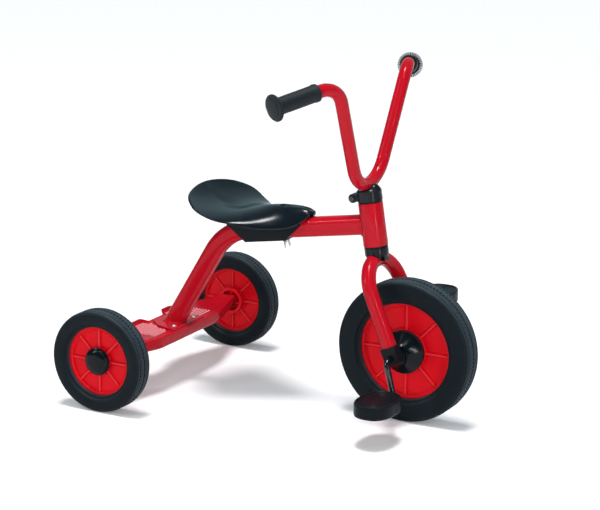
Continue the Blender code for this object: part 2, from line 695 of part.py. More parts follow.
def head_tube():
    tube_body = turned("head_tube", [
        (HEAD_TUBE_BORE, HEAD_TUBE_LENGTH), (HEAD_TUBE_RADIUS - 0.6 * MM, HEAD_TUBE_LENGTH),
        (HEAD_TUBE_RADIUS, HEAD_TUBE_LENGTH - 0.6 * MM), (HEAD_TUBE_RADIUS, 0.6 * MM),
        (HEAD_TUBE_RADIUS - 0.6 * MM, 0), (HEAD_TUBE_BORE, 0)], 32)
    return link(tube_body, (RED, 0.25, 0), HEAD)


def head_bush(name, height, outward):
    """Flanged plastic bush pressed into one end of the head tube."""
    inner = (STEERER_RADIUS + GAP) * BORE_MARGIN
    body = HEAD_TUBE_BORE - GAP * 1.5
    profile = [(inner, BUSH_FLANGE), (HEAD_TUBE_RADIUS - 0.8 * MM, BUSH_FLANGE),
               (HEAD_TUBE_RADIUS - 0.8 * MM, 0), (body, 0), (body, -BUSH_DEPTH),
               (inner, -BUSH_DEPTH)]
    place = (0, 0, height + outward * GAP)
    turn = (0 if outward > 0 else math.pi, 0, 0)
    return link(turned(name, profile), (BLACK, 0.5, 0), HEAD, place, turn)


def fork_point(y, height):
    """A point of the fork's plane: height up the legs from the axle."""
    return Vector((FORK_OFFSET - height * math.sin(FORK_LEAN), y,
                   -FORK_DROP + height * math.cos(FORK_LEAN)))


def fork_path():
    crown = math.hypot(FORK_OFFSET + FORK_CROWN_BACK, FORK_DROP - FORK_CROWN_DROP)
    corners = [fork_point(-FORK_LEG_Y, FORK_LEG_END), fork_point(-FORK_LEG_Y, crown),
               fork_point(FORK_LEG_Y, crown), fork_point(FORK_LEG_Y, FORK_LEG_END)]
    return rounded_path(corners, [FORK_ARCH_RADIUS, FORK_ARCH_RADIUS], math.radians(10))


def fork():
    """Bent fork tube with the steerer welded to its crown."""
    body = tube("fork", fork_path(), FORK_TUBE_RADIUS, 5)
    top = HEAD_TUBE_LENGTH + STEERER_RISE
    steerer = rod("steerer", STEERER_RADIUS, -FORK_CROWN_DROP, top, ROUND_STEPS)
    stem_bore = rod("steerer_bore", STEM_RADIUS + GAP, HEAD_TUBE_LENGTH - STEM_DEPTH - 4 * MM,
                    top + 5 * MM, ROUND_STEPS)
    combine(body, as_cutter(steerer, STEERING), "UNION")
    combine(body, as_cutter(stem_bore, STEERING), "DIFFERENCE")
    return link(body, (RED, 0.25, 0), STEERING)


def lower_collar():
    """Black collar over the fork's crown, with a tab in front."""
    top = -BUSH_FLANGE - 2 * GAP
    bottom = top - COLLAR_HEIGHT
    profile = [(0, top), (COLLAR_RADIUS, top), (COLLAR_RADIUS, bottom + 5 * MM),
               (COLLAR_RADIUS - 2 * MM, bottom), (0, bottom)]
    body = turned("lower_collar", profile, closed=False)
    tab = box("collar_tab", (COLLAR_RADIUS / 2, -COLLAR_TAB_WIDTH / 2, bottom - COLLAR_TAB_DROP),
              (COLLAR_RADIUS - 2.5 * MM, COLLAR_TAB_WIDTH / 2, bottom + 4 * MM))
    crown = tube("collar_crown_cut", fork_path(), FORK_TUBE_RADIUS + GAP, 5)
    bore = rod("collar_bore", (STEERER_RADIUS + GAP) * BORE_MARGIN, bottom - FORK_CROWN_DROP,
               FORK_CROWN_DROP, ROUND_STEPS)
    combine(body, as_cutter(tab, STEERING), "UNION")
    combine(body, as_cutter(crown, STEERING), "DIFFERENCE")
    combine(body, as_cutter(bore, STEERING), "DIFFERENCE")
    return link(body, (BLACK, 0.35, 0), STEERING)


def bar_point(y, height):
    """A point of the handlebar's plane: height up the plane from the bottom bend."""
    return Vector((-BAR_BACK + height * math.sin(BAR_TILT), y,
                   HEAD_TUBE_LENGTH + BAR_HEIGHT + height * math.cos(BAR_TILT)))


def grip_direction(sign):
    flat = math.cos(GRIP_DROOP)
    return Vector((-math.sin(GRIP_SWEEP) * flat, sign * math.cos(GRIP_SWEEP) * flat,
                   -math.sin(GRIP_DROOP)))


def bar_corner(sign):
    """Where the line of a leg meets the line of its grip."""
    root = BAR_BOTTOM_RADIUS * (1 - 1 / math.sin(BAR_LEG_ANGLE))
    return bar_point(sign * (BAR_CORNER_HEIGHT - root) * math.tan(BAR_LEG_ANGLE),
                     BAR_CORNER_HEIGHT)


def bar_path():
    root = bar_point(0, BAR_BOTTOM_RADIUS * (1 - 1 / math.sin(BAR_LEG_ANGLE)))
    reach = GRIP_START + GRIP_LENGTH - GRIP_FLANGE_THICKNESS - 3 * MM
    ends = [bar_corner(sign) + grip_direction(sign) * reach for sign in (-1, 1)]
    corners = [ends[0], bar_corner(-1), root, bar_corner(1), ends[1]]
    radii = [BAR_CORNER_RADIUS, BAR_BOTTOM_RADIUS, BAR_CORNER_RADIUS]
    return rounded_path(corners, radii, math.radians(9))


def handlebar():
    """Bent handlebar with the stem welded under its bottom bend."""
    body = tube("handlebar", bar_path(), BAR_TUBE_RADIUS, 4)
    stem = rod("bar_stem", STEM_RADIUS, HEAD_TUBE_LENGTH - STEM_DEPTH,
               HEAD_TUBE_LENGTH + BAR_HEIGHT, ROUND_STEPS)
    combine(body, as_cutter(stem, STEERING), "UNION")
    return link(body, (RED, 0.25, 0), STEERING)


def upper_clamp():
    """Black clamp round the steerer: saddle for the bar, front ear and pinch lug behind."""
    bottom = BUSH_FLANGE + 2 * GAP
    top = CLAMP_HEIGHT
    profile = [(0, top), (CLAMP_RADIUS - 2 * MM, top), (CLAMP_RADIUS, top - 3 * MM),
               (CLAMP_RADIUS, bottom), (0, bottom)]
    body = turned("upper_clamp", profile, closed=False)
    ear = ball("clamp_ear", CLAMP_EAR_RADIUS, (CLAMP_EAR_FORWARD, 0, CLAMP_EAR_HEIGHT))
    web = box("clamp_lug_web", (-LUG_BACK, -LUG_WIDTH / 2, bottom + 0.5 * MM),
              (-STEERER_RADIUS, LUG_WIDTH / 2, LUG_HEIGHT + 0.95 * LUG_RADIUS))
    lug = rod("clamp_lug", LUG_RADIUS, -LUG_WIDTH / 2, LUG_WIDTH / 2, 20)
    bore = rod("clamp_bore", (STEERER_RADIUS + GAP) * BORE_MARGIN, bottom - 5 * MM,
               STEERER_RISE + GAP, ROUND_STEPS, GAP)
    stem = rod("clamp_stem_bore", (STEM_RADIUS + GAP) * BORE_MARGIN, bottom, BAR_HEIGHT, ROUND_STEPS)
    saddle = tube("clamp_saddle_cut", bar_path(), BAR_TUBE_RADIUS + GAP, 4)
    slit = box("clamp_slit", (-LUG_BACK - 2 * LUG_RADIUS, -LUG_SLIT / 2, bottom - 5 * MM),
               (-STEM_RADIUS / 2, LUG_SLIT / 2, top + 5 * MM))
    pin = rod("clamp_bolt_hole", PINCH_BOLT_RADIUS + GAP, -LUG_WIDTH, LUG_WIDTH, 12)
    place = (-LUG_BACK, 0, LUG_HEIGHT)
    combine(body, as_cutter(ear, STEERING_TOP), "UNION")
    combine(body, as_cutter(web, STEERING_TOP), "UNION")
    combine(body, as_cutter(lug, STEERING_TOP, place, side_turn(1)), "UNION")
    combine(body, as_cutter(bore, STEERING_TOP), "DIFFERENCE")
    combine(body, as_cutter(stem, STEERING_TOP), "DIFFERENCE")
    combine(body, as_cutter(saddle, STEERING), "DIFFERENCE")
    combine(body, as_cutter(slit, STEERING_TOP), "DIFFERENCE")
    combine(body, as_cutter(pin, STEERING_TOP, place, side_turn(1)), "DIFFERENCE")
    return link(body, (BLACK, 0.35, 0), STEERING_TOP)


def pinch_bolt():
    face = LUG_WIDTH / 2 + GAP
    tip = -face - PINCH_HEAD_HEIGHT
    profile = [(0, face + PINCH_HEAD_HEIGHT), (PINCH_HEAD_RADIUS - 0.6 * MM, face + PINCH_HEAD_HEIGHT),
               (PINCH_HEAD_RADIUS, face + PINCH_HEAD_HEIGHT - 0.6 * MM), (PINCH_HEAD_RADIUS, face),
               (PINCH_BOLT_RADIUS, face), (PINCH_BOLT_RADIUS, tip), (0, tip)]
    bolt = turned("pinch_bolt", profile, 12, closed=False)
    link(bolt, (BLACK, 0.4, 0.6), STEERING_TOP, (-LUG_BACK, 0, LUG_HEIGHT), side_turn(-1))
    nut = plate("pinch_nut", [arc(0, 0, PINCH_HEAD_RADIUS, 0, 360, 6)[:-1],
                              circle(PINCH_BOLT_RADIUS + GAP, 12)], PINCH_HEAD_HEIGHT)
    link(nut, (BLACK, 0.4, 0.6), STEERING_TOP,
         (-LUG_BACK, face + PINCH_HEAD_HEIGHT / 2, LUG_HEIGHT), side_turn(1))


def grip(side, sign):
    """Grip with a collar at its inner end and a broad guard at its outer end."""
    end = GRIP_LENGTH
    flange = GRIP_FLANGE_RADIUS
    thick = GRIP_FLANGE_THICKNESS
    bore = (BAR_TUBE_RADIUS + GAP) * BORE_MARGIN
    profile = [(0, end), (0.6 * flange, end - 0.4 * MM), (0.88 * flange, end - 2 * MM),
               (flange, end - 0.45 * thick), (0.94 * flange, end - 0.75 * thick),
               (GRIP_RADIUS + 2 * MM, end - thick), (GRIP_RADIUS, end - thick - 2 * MM),
               (GRIP_RADIUS, GRIP_COLLAR_LENGTH), (GRIP_COLLAR_RADIUS, GRIP_COLLAR_LENGTH - 1.5 * MM),
               (GRIP_COLLAR_RADIUS, 1 * MM), (GRIP_COLLAR_RADIUS - 1 * MM, 0), (bore, 0),
               (bore, end - thick - 2 * MM), (0, end - thick - 2 * MM)]
    body = turned("grip_" + side, profile, closed=False)
    direction = grip_direction(sign)
    body.rotation_mode = "QUATERNION"
    body.rotation_quaternion = direction.to_track_quat("Z", "Y")
    link(body, (BLACK, 0.5, 0), STEERING, bar_corner(sign) + direction * GRIP_START)
    return body


def fork_block(side, sign):
    """Rounded bearing block at the end of a fork leg, bored for the crank axle."""
    half = BLOCK_DEPTH / 2
    top = FORK_LEG_END - GAP
    outline = [(half, top), (-half, top), (-half, top - 4 * MM)]
    outline += arc(0, 0, BLOCK_BELOW, 170, 370, 16)
    outline += [(half, top - 4 * MM)]
    block = plate(side + "_fork_block", [outline, circle((CRANK_ROD_RADIUS + GAP) * BORE_MARGIN)],
                  BLOCK_WIDTH)
    place = Vector((FORK_OFFSET, sign * FORK_LEG_Y, -FORK_DROP))
    holder = new_empty(side + "_fork_end", STEERING, place, (0, -FORK_LEAN, 0))
    return link(block, (BLACK, 0.4, 0), holder, (0, 0, 0), (math.pi / 2, 0, 0))


def front_hub(side, sign):
    """Domed boss that carries the wheel on the crank axle."""
    base = FRONT_BOSS_FACE + GAP
    edge = base + HUB_FLANGE_THICKNESS
    bore = (CRANK_ROD_RADIUS + GAP) * BORE_MARGIN
    profile = [(bore, HUB_END), (HUB_NECK_RADIUS, HUB_END), (HUB_NECK_RADIUS, HUB_BOSS_FACE + 1 * MM)]
    for angle in range(90, -1, -15):
        across = math.cos(math.radians(angle)) ** HUB_DOME_POWER if angle < 90 else 0
        along = math.sin(math.radians(angle)) ** HUB_DOME_POWER
        profile.append((HUB_BOSS_RADIUS + (HUB_FLANGE_RADIUS - HUB_BOSS_RADIUS) * across,
                        edge + (HUB_BOSS_FACE - edge) * along))
    profile += [(HUB_FLANGE_RADIUS, base), (bore, base)]
    return link(turned(side + "_front_hub", profile), (BLACK, 0.3, 0), FRONT_WHEEL,
                rotation=side_turn(sign))


def crankshaft():
    """One rod bent into axle, both crank arms and both pedal spindles."""
    end = PEDAL_CENTRE_Y + PEDAL_LENGTH / 2 - PEDAL_END_WALL - 2 * MM
    corners = [Vector((0, -end, -CRANK_RADIUS)), Vector((0, -CRANK_ARM_Y, -CRANK_RADIUS)),
               Vector((0, -CRANK_ARM_Y, 0)), Vector((0, CRANK_ARM_Y, 0)),
               Vector((0, CRANK_ARM_Y, CRANK_RADIUS)), Vector((0, end, CRANK_RADIUS))]
    path = rounded_path(corners, [CRANK_BEND_RADIUS] * 4, math.radians(22.5))
    return link(tube("crankshaft", path, CRANK_ROD_RADIUS, 3), (BLACK, 0.2, 0.3), FRONT_WHEEL)


def pedal(side, sign):
    """Oval pedal block, both treads recessed inside a rim, bored for its spindle."""
    axle = new_empty(side + "_pedal_axle", FRONT_WHEEL,
                     (0, sign * PEDAL_CENTRE_Y, sign * CRANK_RADIUS),
                     (0, CRANK_ANGLE, 0))
    half = PEDAL_THICKNESS / 2
    levels = [(0.0, half - PEDAL_RECESS), (0.84, half - PEDAL_RECESS), (0.88, half),
              (0.95, half), (1.0, half - 2.5 * MM)]
    levels += [(scale, -height) for scale, height in reversed(levels)]
    steps = 28

    def outline(scale, k):
        angle = 2 * math.pi * k / steps
        c, s = math.cos(angle), math.sin(angle)
        x = PEDAL_DEPTH / 2 * math.copysign(abs(c) ** 0.8, c)
        y = PEDAL_LENGTH / 2 * math.copysign(abs(s) ** 0.8, s)
        return x * scale, y * scale

    def build(shape):
        rows = []
        for scale, height in levels:
            if scale == 0:
                rows.append([shape.verts.new((0, 0, height))] * steps)
            else:
                rows.append([shape.verts.new((*outline(scale, k), height)) for k in range(steps)])
        for row, following in zip(rows, rows[1:]):
            for k in range(steps):
                n = (k + 1) % steps
                corners = dict.fromkeys((row[k], following[k], following[n], row[n]))
                shape.faces.new(list(corners))
        bmesh.ops.recalc_face_normals(shape, faces=shape.faces)

    body = mesh_object(side + "_pedal", build)
    inner = PEDAL_LENGTH / 2
    bore = rod(side + "_pedal_bore", (CRANK_ROD_RADIUS + GAP) * BORE_MARGIN,
               -inner - 5 * MM, inner - PEDAL_END_WALL)
    combine(body, as_cutter(bore, axle, (0, 0, 0), side_turn(sign)), "DIFFERENCE")
    return link(body, (BLACK, 0.45, 0), axle)


def front_wheel():
    tyre("front_tyre", FRONT_TYRE_RADIUS, FRONT_TYRE_WIDTH, FRONT_RIM_RADIUS + GAP,
         FRONT_RIM_FACE, FRONT_WHEEL, 0)
    bore = (CRANK_ROD_RADIUS + GAP) * BORE_MARGIN
    for side, sign in (("right", -1), ("left", 1)):
        ribbed_rim(side + "_front_rim", FRONT_RIM_RADIUS, FRONT_RIM_FACE, bore, FRONT_BOSS_RADIUS,
                   FRONT_BOSS_FACE, FRONT_WHEEL, 0, sign)
        front_hub(side, sign)


def seat_point(shares):
    """Place given by its shares of the saddle's length, half width and rise."""
    length, width, height = shares
    return Vector((length * SEAT_LENGTH - SEAT_BACK, width * SEAT_HALF_WIDTH,
                   SEAT_BOTTOM + height * SEAT_RISE))


def seat_surface(shape):
    """Left half of the saddle's upper surface, from spine to rim."""
    rear = seat_point(SEAT_REAR)
    nose = seat_point(SEAT_NOSE)
    rim = smooth_through([rear] + [seat_point(p) for p in SEAT_RIM] + [nose], SEAT_ROWS, True)
    spine = smooth_through([rear] + [seat_point(p) for p in SEAT_SPINE] + [nose], SEAT_ROWS)
    rows = []
    for inner, outer in zip(spine, rim):
        row = []
        for k in range(SEAT_COLUMNS):
            t = k / (SEAT_COLUMNS - 1)
            point = inner.lerp(outer, t)
            point.y = max(0.0, outer.y * t)
            point.z = inner.z + (outer.z - inner.z) * t ** SEAT_CROSS_POWER
            row.append(shape.verts.new(point))
        rows.append(row)
    for row, following in zip(rows, rows[1:]):
        for k in range(SEAT_COLUMNS - 1):
            shape.faces.new((row[k], following[k], following[k + 1], row[k + 1]))
    bmesh.ops.remove_doubles(shape, verts=shape.verts, dist=MERGE)
    bmesh.ops.triangulate(shape, faces=shape.faces, quad_method="FIXED")
    for face in shape.faces:
        face.normal_update()
    if sum(face.normal.z for face in shape.faces) < 0:
        bmesh.ops.reverse_faces(shape, faces=shape.faces)


def lower_seat_surface(shape, depth):
    """Drop the saddle's surface so that it lies a given depth below, square to the surface."""
    drops = {}
    for vertex in shape.verts:
        vertex.normal_update()
        drops[vertex] = depth / max(vertex.normal.z, SEAT_STEEPEST)
    for vertex, drop in drops.items():
        vertex.co.z -= drop


def seat_solid(name, low_depth, high_depth, high_level=None):
    """Body between two surfaces that follow the saddle, or up to a level plane."""
    def build(shape):
        seat_surface(shape)
        lower_seat_surface(shape, high_depth)
        upper = [vertex.co.copy() for vertex in shape.verts]
        lower_seat_surface(shape, low_depth - high_depth)
        base = list(shape.verts)
        raised = bmesh.ops.extrude_face_region(shape, geom=list(shape.faces))["geom"]
        heights = {(round(a.co.x / MERGE), round(a.co.y / MERGE)): b.z
                   for a, b in zip(base, upper)}
        for item in raised:
            if isinstance(item, bmesh.types.BMVert):
                key = (round(item.co.x / MERGE), round(item.co.y / MERGE))
                item.co.z = high_level or heights[key]
        middle = [face for face in shape.faces if all(v.co.y < MERGE for v in face.verts)]
        bmesh.ops.delete(shape, geom=middle, context="FACES")
        bmesh.ops.recalc_face_normals(shape, faces=shape.faces)

    body = mesh_object(name, build, 60)
    mirror = body.modifiers.new("Mirror", "MIRROR")
    mirror.use_axis = (False, True, False)
    mirror.merge_threshold = MERGE
    return body


def seat_clamp():
    """Channel under the saddle that straddles the top tube, and its jaw underneath."""
    inside = TUBE_WIDTH / 2 + CLAMP_SLIDE_GAP
    below = TUBE_HEIGHT / 2 + CLAMP_SLIDE_GAP
    bottom = -(below + JAW_THICKNESS)
    outline = [(CLAMP_FRONT_BOTTOM, bottom), (CLAMP_FRONT_TOP, CLAMP_FRONT_RISE),
               (CLAMP_FRONT_TOP, CLAMP_RISE), (CLAMP_REAR_TOP, CLAMP_RISE),
               (CLAMP_REAR_TOP, CLAMP_REAR_RISE), (CLAMP_REAR_BOTTOM, bottom)]
    body = plate("seat_clamp", [outline], 2 * (inside + CLAMP_WALL))
    channel = box("clamp_channel", (-CLAMP_RISE, -inside, bottom - below),
                  (CLAMP_FRONT_TOP + CLAMP_RISE, inside, below))
    combine(body, as_cutter(channel, TUBE_BEND), "DIFFERENCE")
    relief = seat_solid("seat_relief", SEAT_THICKNESS + GAP, 0, SEAT_RISE + CLAMP_RISE)
    combine(body, as_cutter(relief, TUBE_BEND), "DIFFERENCE")
    link(body, (BLACK, 0.4, 0), TUBE_BEND, (0, 0, 0), (math.pi / 2, 0, 0))
    jaw_y = inside - GAP
    jaw = box("seat_jaw", (CLAMP_REAR_BOTTOM, -jaw_y, bottom),
              (CLAMP_FRONT_BOTTOM, jaw_y, bottom + JAW_THICKNESS))
    hole = rod("jaw_hole", WING_BOLT_RADIUS + GAP, bottom - 5 * MM, 0, 12)
    combine(jaw, as_cutter(hole, WING_AXIS), "DIFFERENCE")
    link(jaw, (BLACK, 0.4, 0), TUBE_BEND)


def wing_bolt():
    """Wing bolt that presses on the tube from below and holds the saddle."""
    tip = -TUBE_HEIGHT / 2 - GAP
    jaw_bottom = -(TUBE_HEIGHT / 2 + CLAMP_SLIDE_GAP + JAW_THICKNESS)
    hub_top = jaw_bottom - GAP
    hub_bottom = hub_top - WING_HUB_HEIGHT
    profile = [(0, tip), (WING_BOLT_RADIUS, tip), (WING_BOLT_RADIUS, hub_top),
               (WING_HUB_RADIUS, hub_top), (WING_HUB_RADIUS, hub_bottom), (0, hub_bottom)]
    bolt = turned("wing_bolt", profile, 12, closed=False)
    wide = WING_SPAN / 2
    outline = [(-wide, hub_bottom - WING_HEIGHT + WING_HUB_HEIGHT), (-wide + 4 * MM, hub_top - 1 * MM),
               (-WING_HUB_RADIUS / 2, hub_top - 1 * MM), (WING_HUB_RADIUS / 2, hub_top - 1 * MM),
               (wide - 4 * MM, hub_top - 1 * MM), (wide, hub_bottom - WING_HEIGHT + WING_HUB_HEIGHT),
               (wide - 5 * MM, hub_bottom - WING_HEIGHT + WING_HUB_HEIGHT - 1 * MM),
               (3 * MM, hub_bottom + 1 * MM), (-3 * MM, hub_bottom + 1 * MM),
               (-wide + 5 * MM, hub_bottom - WING_HEIGHT + WING_HUB_HEIGHT - 1 * MM)]
    wings = plate("bolt_wings", [outline], WING_THICKNESS)
    combine(bolt, as_cutter(wings, WING_AXIS, (0, 0, 0), (math.pi / 2, 0, math.pi / 2)), "UNION")
    return link(bolt, (STEEL, 0.3, 1), WING_AXIS)


clear_scene()
PARTS = new_collection("tricycle")
CUTTERS = new_collection("cutters")
HEAD = new_empty("head_axis", None, HEAD_FOOT, (0, -RAKE, 0))
STEERING = new_empty("steering", HEAD)
STEERING_TOP = new_empty("steering_top", STEERING, (0, 0, HEAD_TUBE_LENGTH))
TUBE_BEND = new_empty("tube_bend", HEAD, (-TOP_TUBE_LENGTH, 0, TUBE_JOINT_HEIGHT))
WING_AXIS = new_empty("wing_bolt_axis", TUBE_BEND, (CLAMP_FRONT_BOTTOM - WING_BOLT_INSET, 0, 0))
FRONT_WHEEL = new_empty("front_wheel", STEERING, (FORK_OFFSET, 0, -FORK_DROP),
                        (0, RAKE - CRANK_ANGLE, 0))

main_tube()
head_tube()
head_bush("upper_bush", HEAD_TUBE_LENGTH, 1)
head_bush("lower_bush", 0, -1)
rear_step()
foot_pad()
foot_bolt("right_foot_bolt", -1)
foot_bolt("left_foot_bolt", 1)
rear_axle()
link(seat_solid("seat_shell", SEAT_THICKNESS, 0), (BLACK, 0.3, 0), TUBE_BEND)
seat_clamp()
wing_bolt()
fork()
lower_collar()
upper_clamp()
pinch_bolt()
handlebar()
front_wheel()
crankshaft()
for SIDE, SIGN in (("right", -1), ("left", 1)):
    grip(SIDE, SIGN)
    fork_block(SIDE, SIGN)
    pedal(SIDE, SIGN)
    rear_wheel(SIDE, SIGN)
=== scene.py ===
"""Looks of the tricycle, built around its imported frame. Metres, +X forward, +Z up."""

import json
from math import atan2, ceil, copysign, cos, hypot, pi, radians, sin, sqrt, tan

import bmesh
import bpy
from mathutils import Matrix, Vector


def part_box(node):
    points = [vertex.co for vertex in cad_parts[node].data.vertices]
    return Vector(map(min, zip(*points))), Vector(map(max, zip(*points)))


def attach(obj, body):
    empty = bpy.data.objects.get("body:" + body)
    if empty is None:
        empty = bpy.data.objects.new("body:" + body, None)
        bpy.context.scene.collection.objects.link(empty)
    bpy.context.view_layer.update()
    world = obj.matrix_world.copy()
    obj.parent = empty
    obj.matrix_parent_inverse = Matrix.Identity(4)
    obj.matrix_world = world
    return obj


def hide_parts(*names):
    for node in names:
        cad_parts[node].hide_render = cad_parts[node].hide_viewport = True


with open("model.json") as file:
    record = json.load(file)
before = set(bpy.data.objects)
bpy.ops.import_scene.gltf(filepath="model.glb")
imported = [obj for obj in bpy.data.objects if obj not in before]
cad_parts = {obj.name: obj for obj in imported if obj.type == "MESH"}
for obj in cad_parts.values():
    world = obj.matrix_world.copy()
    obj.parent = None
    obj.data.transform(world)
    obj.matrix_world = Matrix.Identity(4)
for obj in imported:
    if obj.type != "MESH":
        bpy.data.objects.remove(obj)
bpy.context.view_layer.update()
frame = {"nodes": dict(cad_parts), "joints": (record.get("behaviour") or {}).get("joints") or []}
JOINTS = {joint["name"]: joint for joint in frame["joints"]}

MM = 0.001
GAP = 0.3 * MM

# Axes and places from the frame
FORWARD = Vector((1, 0, 0))
SIDE = Vector((0, 1, 0))
UP = Vector((0, 0, 1))
WORLD = Matrix.Identity(4)
AXIS_UP = Vector(JOINTS["steering_turn"]["axis"])
AXIS_FORWARD = SIDE.cross(AXIS_UP)
HEAD_FOOT = Vector(JOINTS["steering_turn"]["pos_m"])
FRONT_AXLE = Vector(JOINTS["front_wheel_spin"]["pos_m"])
RIGHT_SPINDLE = Vector(JOINTS["right_pedal_spin"]["pos_m"])
LEFT_SPINDLE = Vector(JOINTS["left_pedal_spin"]["pos_m"])
RIGHT_WHEEL = Vector(JOINTS["right_rear_wheel_spin"]["pos_m"])
LEFT_WHEEL = Vector(JOINTS["left_rear_wheel_spin"]["pos_m"])
REAR_X = RIGHT_WHEEL.x

# How finely round forms are cut
TUBE_SIDES = 32
TURNED_SIDES = 72
CORNER_STEPS = 4  # in a quarter turn of a softened corner
SOFT_EDGE = 0.8 * MM  # radius of softened corners on turned pieces
SOFT_SHARE = 0.45  # of a run that a softened corner may take
LONGEST_RUN = 12 * MM
NEARLY_STRAIGHT = radians(179.5)
BEND_STEP = radians(4)
MAIN_BEND_STEP = radians(3)
CRANK_BEND_STEP = radians(9)

# Tyres, outlines in mm, with the distance from the side wall second
REAR_RADIUS = RIGHT_WHEEL.z
REAR_WIDTH = 37 * MM
FRONT_RADIUS = FRONT_AXLE.z
FRONT_WIDTH = 43 * MM
BEAD_HALF = 6.5 * MM
BEAD_OUTLINE = ((0.6, 6), (2.6, 4.6), (4.6, 4.4), (6.4, 1.4), (9, 0.4))  # outward from the bead
SHOULDER_OUTLINE = ((14, 0), (8, 0), (4.4, 0.5), (2.1, 1.8), (0.8, 4), (0.5, 5.6), (1.6, 6),
                    (1.6, 6.8), (0.2, 7.2))  # below the tread
TREAD_INSET = 7.4 * MM  # edge of the tread from the side wall
TREAD_MIDDLE = 1.5 * MM  # half width of the middle groove
TREAD_ROWS = 9
GROOVE_DEPTH = 1.8 * MM
GROOVE_SLOPE = 0.5 * MM
PATTERN_INSET = 6.9 * MM  # the cross grooves reach this far from the side wall
PATTERN_FLOOR = 1 * MM  # and cut what lies this near the outer radius
PATTERN_DEPTH = 1.3 * MM
PATTERN_PITCH = 6.4 * MM
PATTERN_SLANT = 7.5 * MM  # width in which a cross groove moves on by one pitch
PATTERN_EDGES = (0.3, 0.7)  # cosines at which a cross groove starts and is full
PATTERN_STEPS = 6

# Rims, halves as (radius, lip's face, boss's radius, boss's face, bore)
REAR_RIM = 57.5 * MM
OUTER_HALF = (REAR_RIM, 7.5 * MM, 20 * MM, 9 * MM, 11.3 * MM)
INNER_HALF = (REAR_RIM, 7.5 * MM, 23.5 * MM, 15 * MM, 11.3 * MM)
FRONT_RIM = 79.5 * MM
FRONT_BOSS_FACE = 10 * MM
FRONT_BORE = 5.4 * MM
FRONT_HALF = (FRONT_RIM, 8 * MM, 34 * MM, FRONT_BOSS_FACE, FRONT_BORE)
RIM_LIP = 4.5 * MM
RIM_WEB = 3.0 * MM
RIM_RINGS = 44
RIM_CHAMFER = 1 * MM
LIP_SLOPE = (-0.8 * MM, 0.6 * MM)  # where the lip's slope starts and ends
RIB_COUNT = 8
RIB_HEIGHT = 3.4 * MM
RIB_FLANK = (0.9 * MM, 2.7 * MM)  # from a rib's middle to its flank's top and foot
RIB_END = (-1 * MM, 2 * MM)  # where a rib runs out at the lip
RIB_CROWDING = 0.55  # below 1, points crowd towards the ribs
SECTOR_STEPS = 36
PANEL_RISE = 0.5 * MM
PANEL_EDGE = (3 * MM, 4.4 * MM)  # from a rib or the boss to a panel's foot and top
PANEL_LIP_EDGE = (2.4 * MM, 3.8 * MM)  # and from the lip
POCKET_DEPTH = 12 * MM
POCKET_COUNT = 4
POCKET_TURN = radians(80)
POCKET_WEB = (1.5 * MM, 2.1 * MM)  # half width of a web at its top and foot
POCKET_INNER = (1.3 * MM, 1.8 * MM)  # top and foot of the inner wall, from the bore
POCKET_OUTER = (4.9 * MM, 5.4 * MM)  # top and foot of the outer wall, from the boss's edge
CAP_DOME = ((6, 0.15), (12, 0.7), (16.5, 1.7), (19.6, 3.1), (21.2, 4.6), (21.6, 6.2))
CAP_STEP = (0.2 * MM, 6.8 * MM)  # inner corner of the step, from the skirt and the top
CAP_SKIRT = 7.4 * MM  # upper edge of the skirt, from the top
CAP_FOOT = 4 * MM
CAP_SHOULDER = (4.4 * MM, 6 * MM)  # edge of the hollow, from the skirt and the top
CAP_INNER = 12 * MM
CAP_WALL = 2 * MM

# Front hub, fork and crank
CRANK_ROD = 5 * MM
CRANK_Y = 78 * MM
CRANK_END = 170 * MM
CRANK_BEND = 10 * MM
FORK_TUBE = 12 * MM
FORK_HALF = 52 * MM
FORK_ARCH = 49 * MM
FORK_CROWN_DROP = 23 * MM
FORK_CROWN_BACK = 2 * MM
FORK_LEG_END = 19 * MM
BLOCK_WIDTH = 21 * MM
HUB_FLANGE = 8 * MM
HUB_FLANGE_RADIUS = 35.5 * MM
HUB_BOSS = 18 * MM
HUB_FACE = 35 * MM
HUB_NECK = 11.5 * MM
HUB_EDGE = ((11.5, 1), (16.6, 1), (17.4, -0.6))  # mm: radius, above the boss's face
HUB_POWER = 2.2  # above 1, the dome swells in a hollow curve
HUB_STEPS = 18

# Head and handlebar
HEAD_LENGTH = 71 * MM
HEAD_RADIUS = 20 * MM
HEAD_WALL = 3 * MM
HEAD_BORE_STEP = 0.01 * MM  # the bore is this much narrower at its lower end
TUBE_JOINT = HEAD_LENGTH / 2 - 0.7 * MM
BAR_TUBE = 10.4 * MM
BAR_RISE = 30 * MM
BAR_BACK = 1 * MM
BAR_TILT = radians(12)
BAR_LEG = radians(25)
BAR_BOTTOM_BEND = 57 * MM
BAR_CORNER_UP = 179 * MM
BAR_CORNER_BEND = 42 * MM
BAR_IN_GRIP = 30 * MM

# Grips, outlines in mm
GRIP_SWEEP = radians(25.4)
GRIP_DROOP = radians(7)
GRIP_START = 42 * MM
GRIP_LENGTH = 86 * MM
GRIP_BORE = BAR_TUBE + 0.4 * MM
GRIP_BORE_DEPTH = 4 * MM
COLLAR_OUTLINE = ((13.7, 0), (14.2, 2), (14.2, 6), (13.5, 7.5))  # radius, from the start
GUARD_OUTLINE = ((13.5, 13), (14.6, 9.5), (15.4, 9), (15.4, 3.6), (16, 3.4), (16.2, 2.4),
                 (14, 0.8), (8, 0))  # radius, from the end
TOOTH_OUTLINE = ((15, 8.4), (20, 8), (21.2, 6.8), (21.2, 4.4), (20, 3), (15, 2))
TOOTH_HALF = 1 * MM
GUARD_TEETH = 40
FLUTE_COUNT = 24
FLUTE_DEPTH = 0.6 * MM
FLUTE_START = 9 * MM
FLUTE_END = 15 * MM  # from the grip's end
FLUTE_STEPS = 6

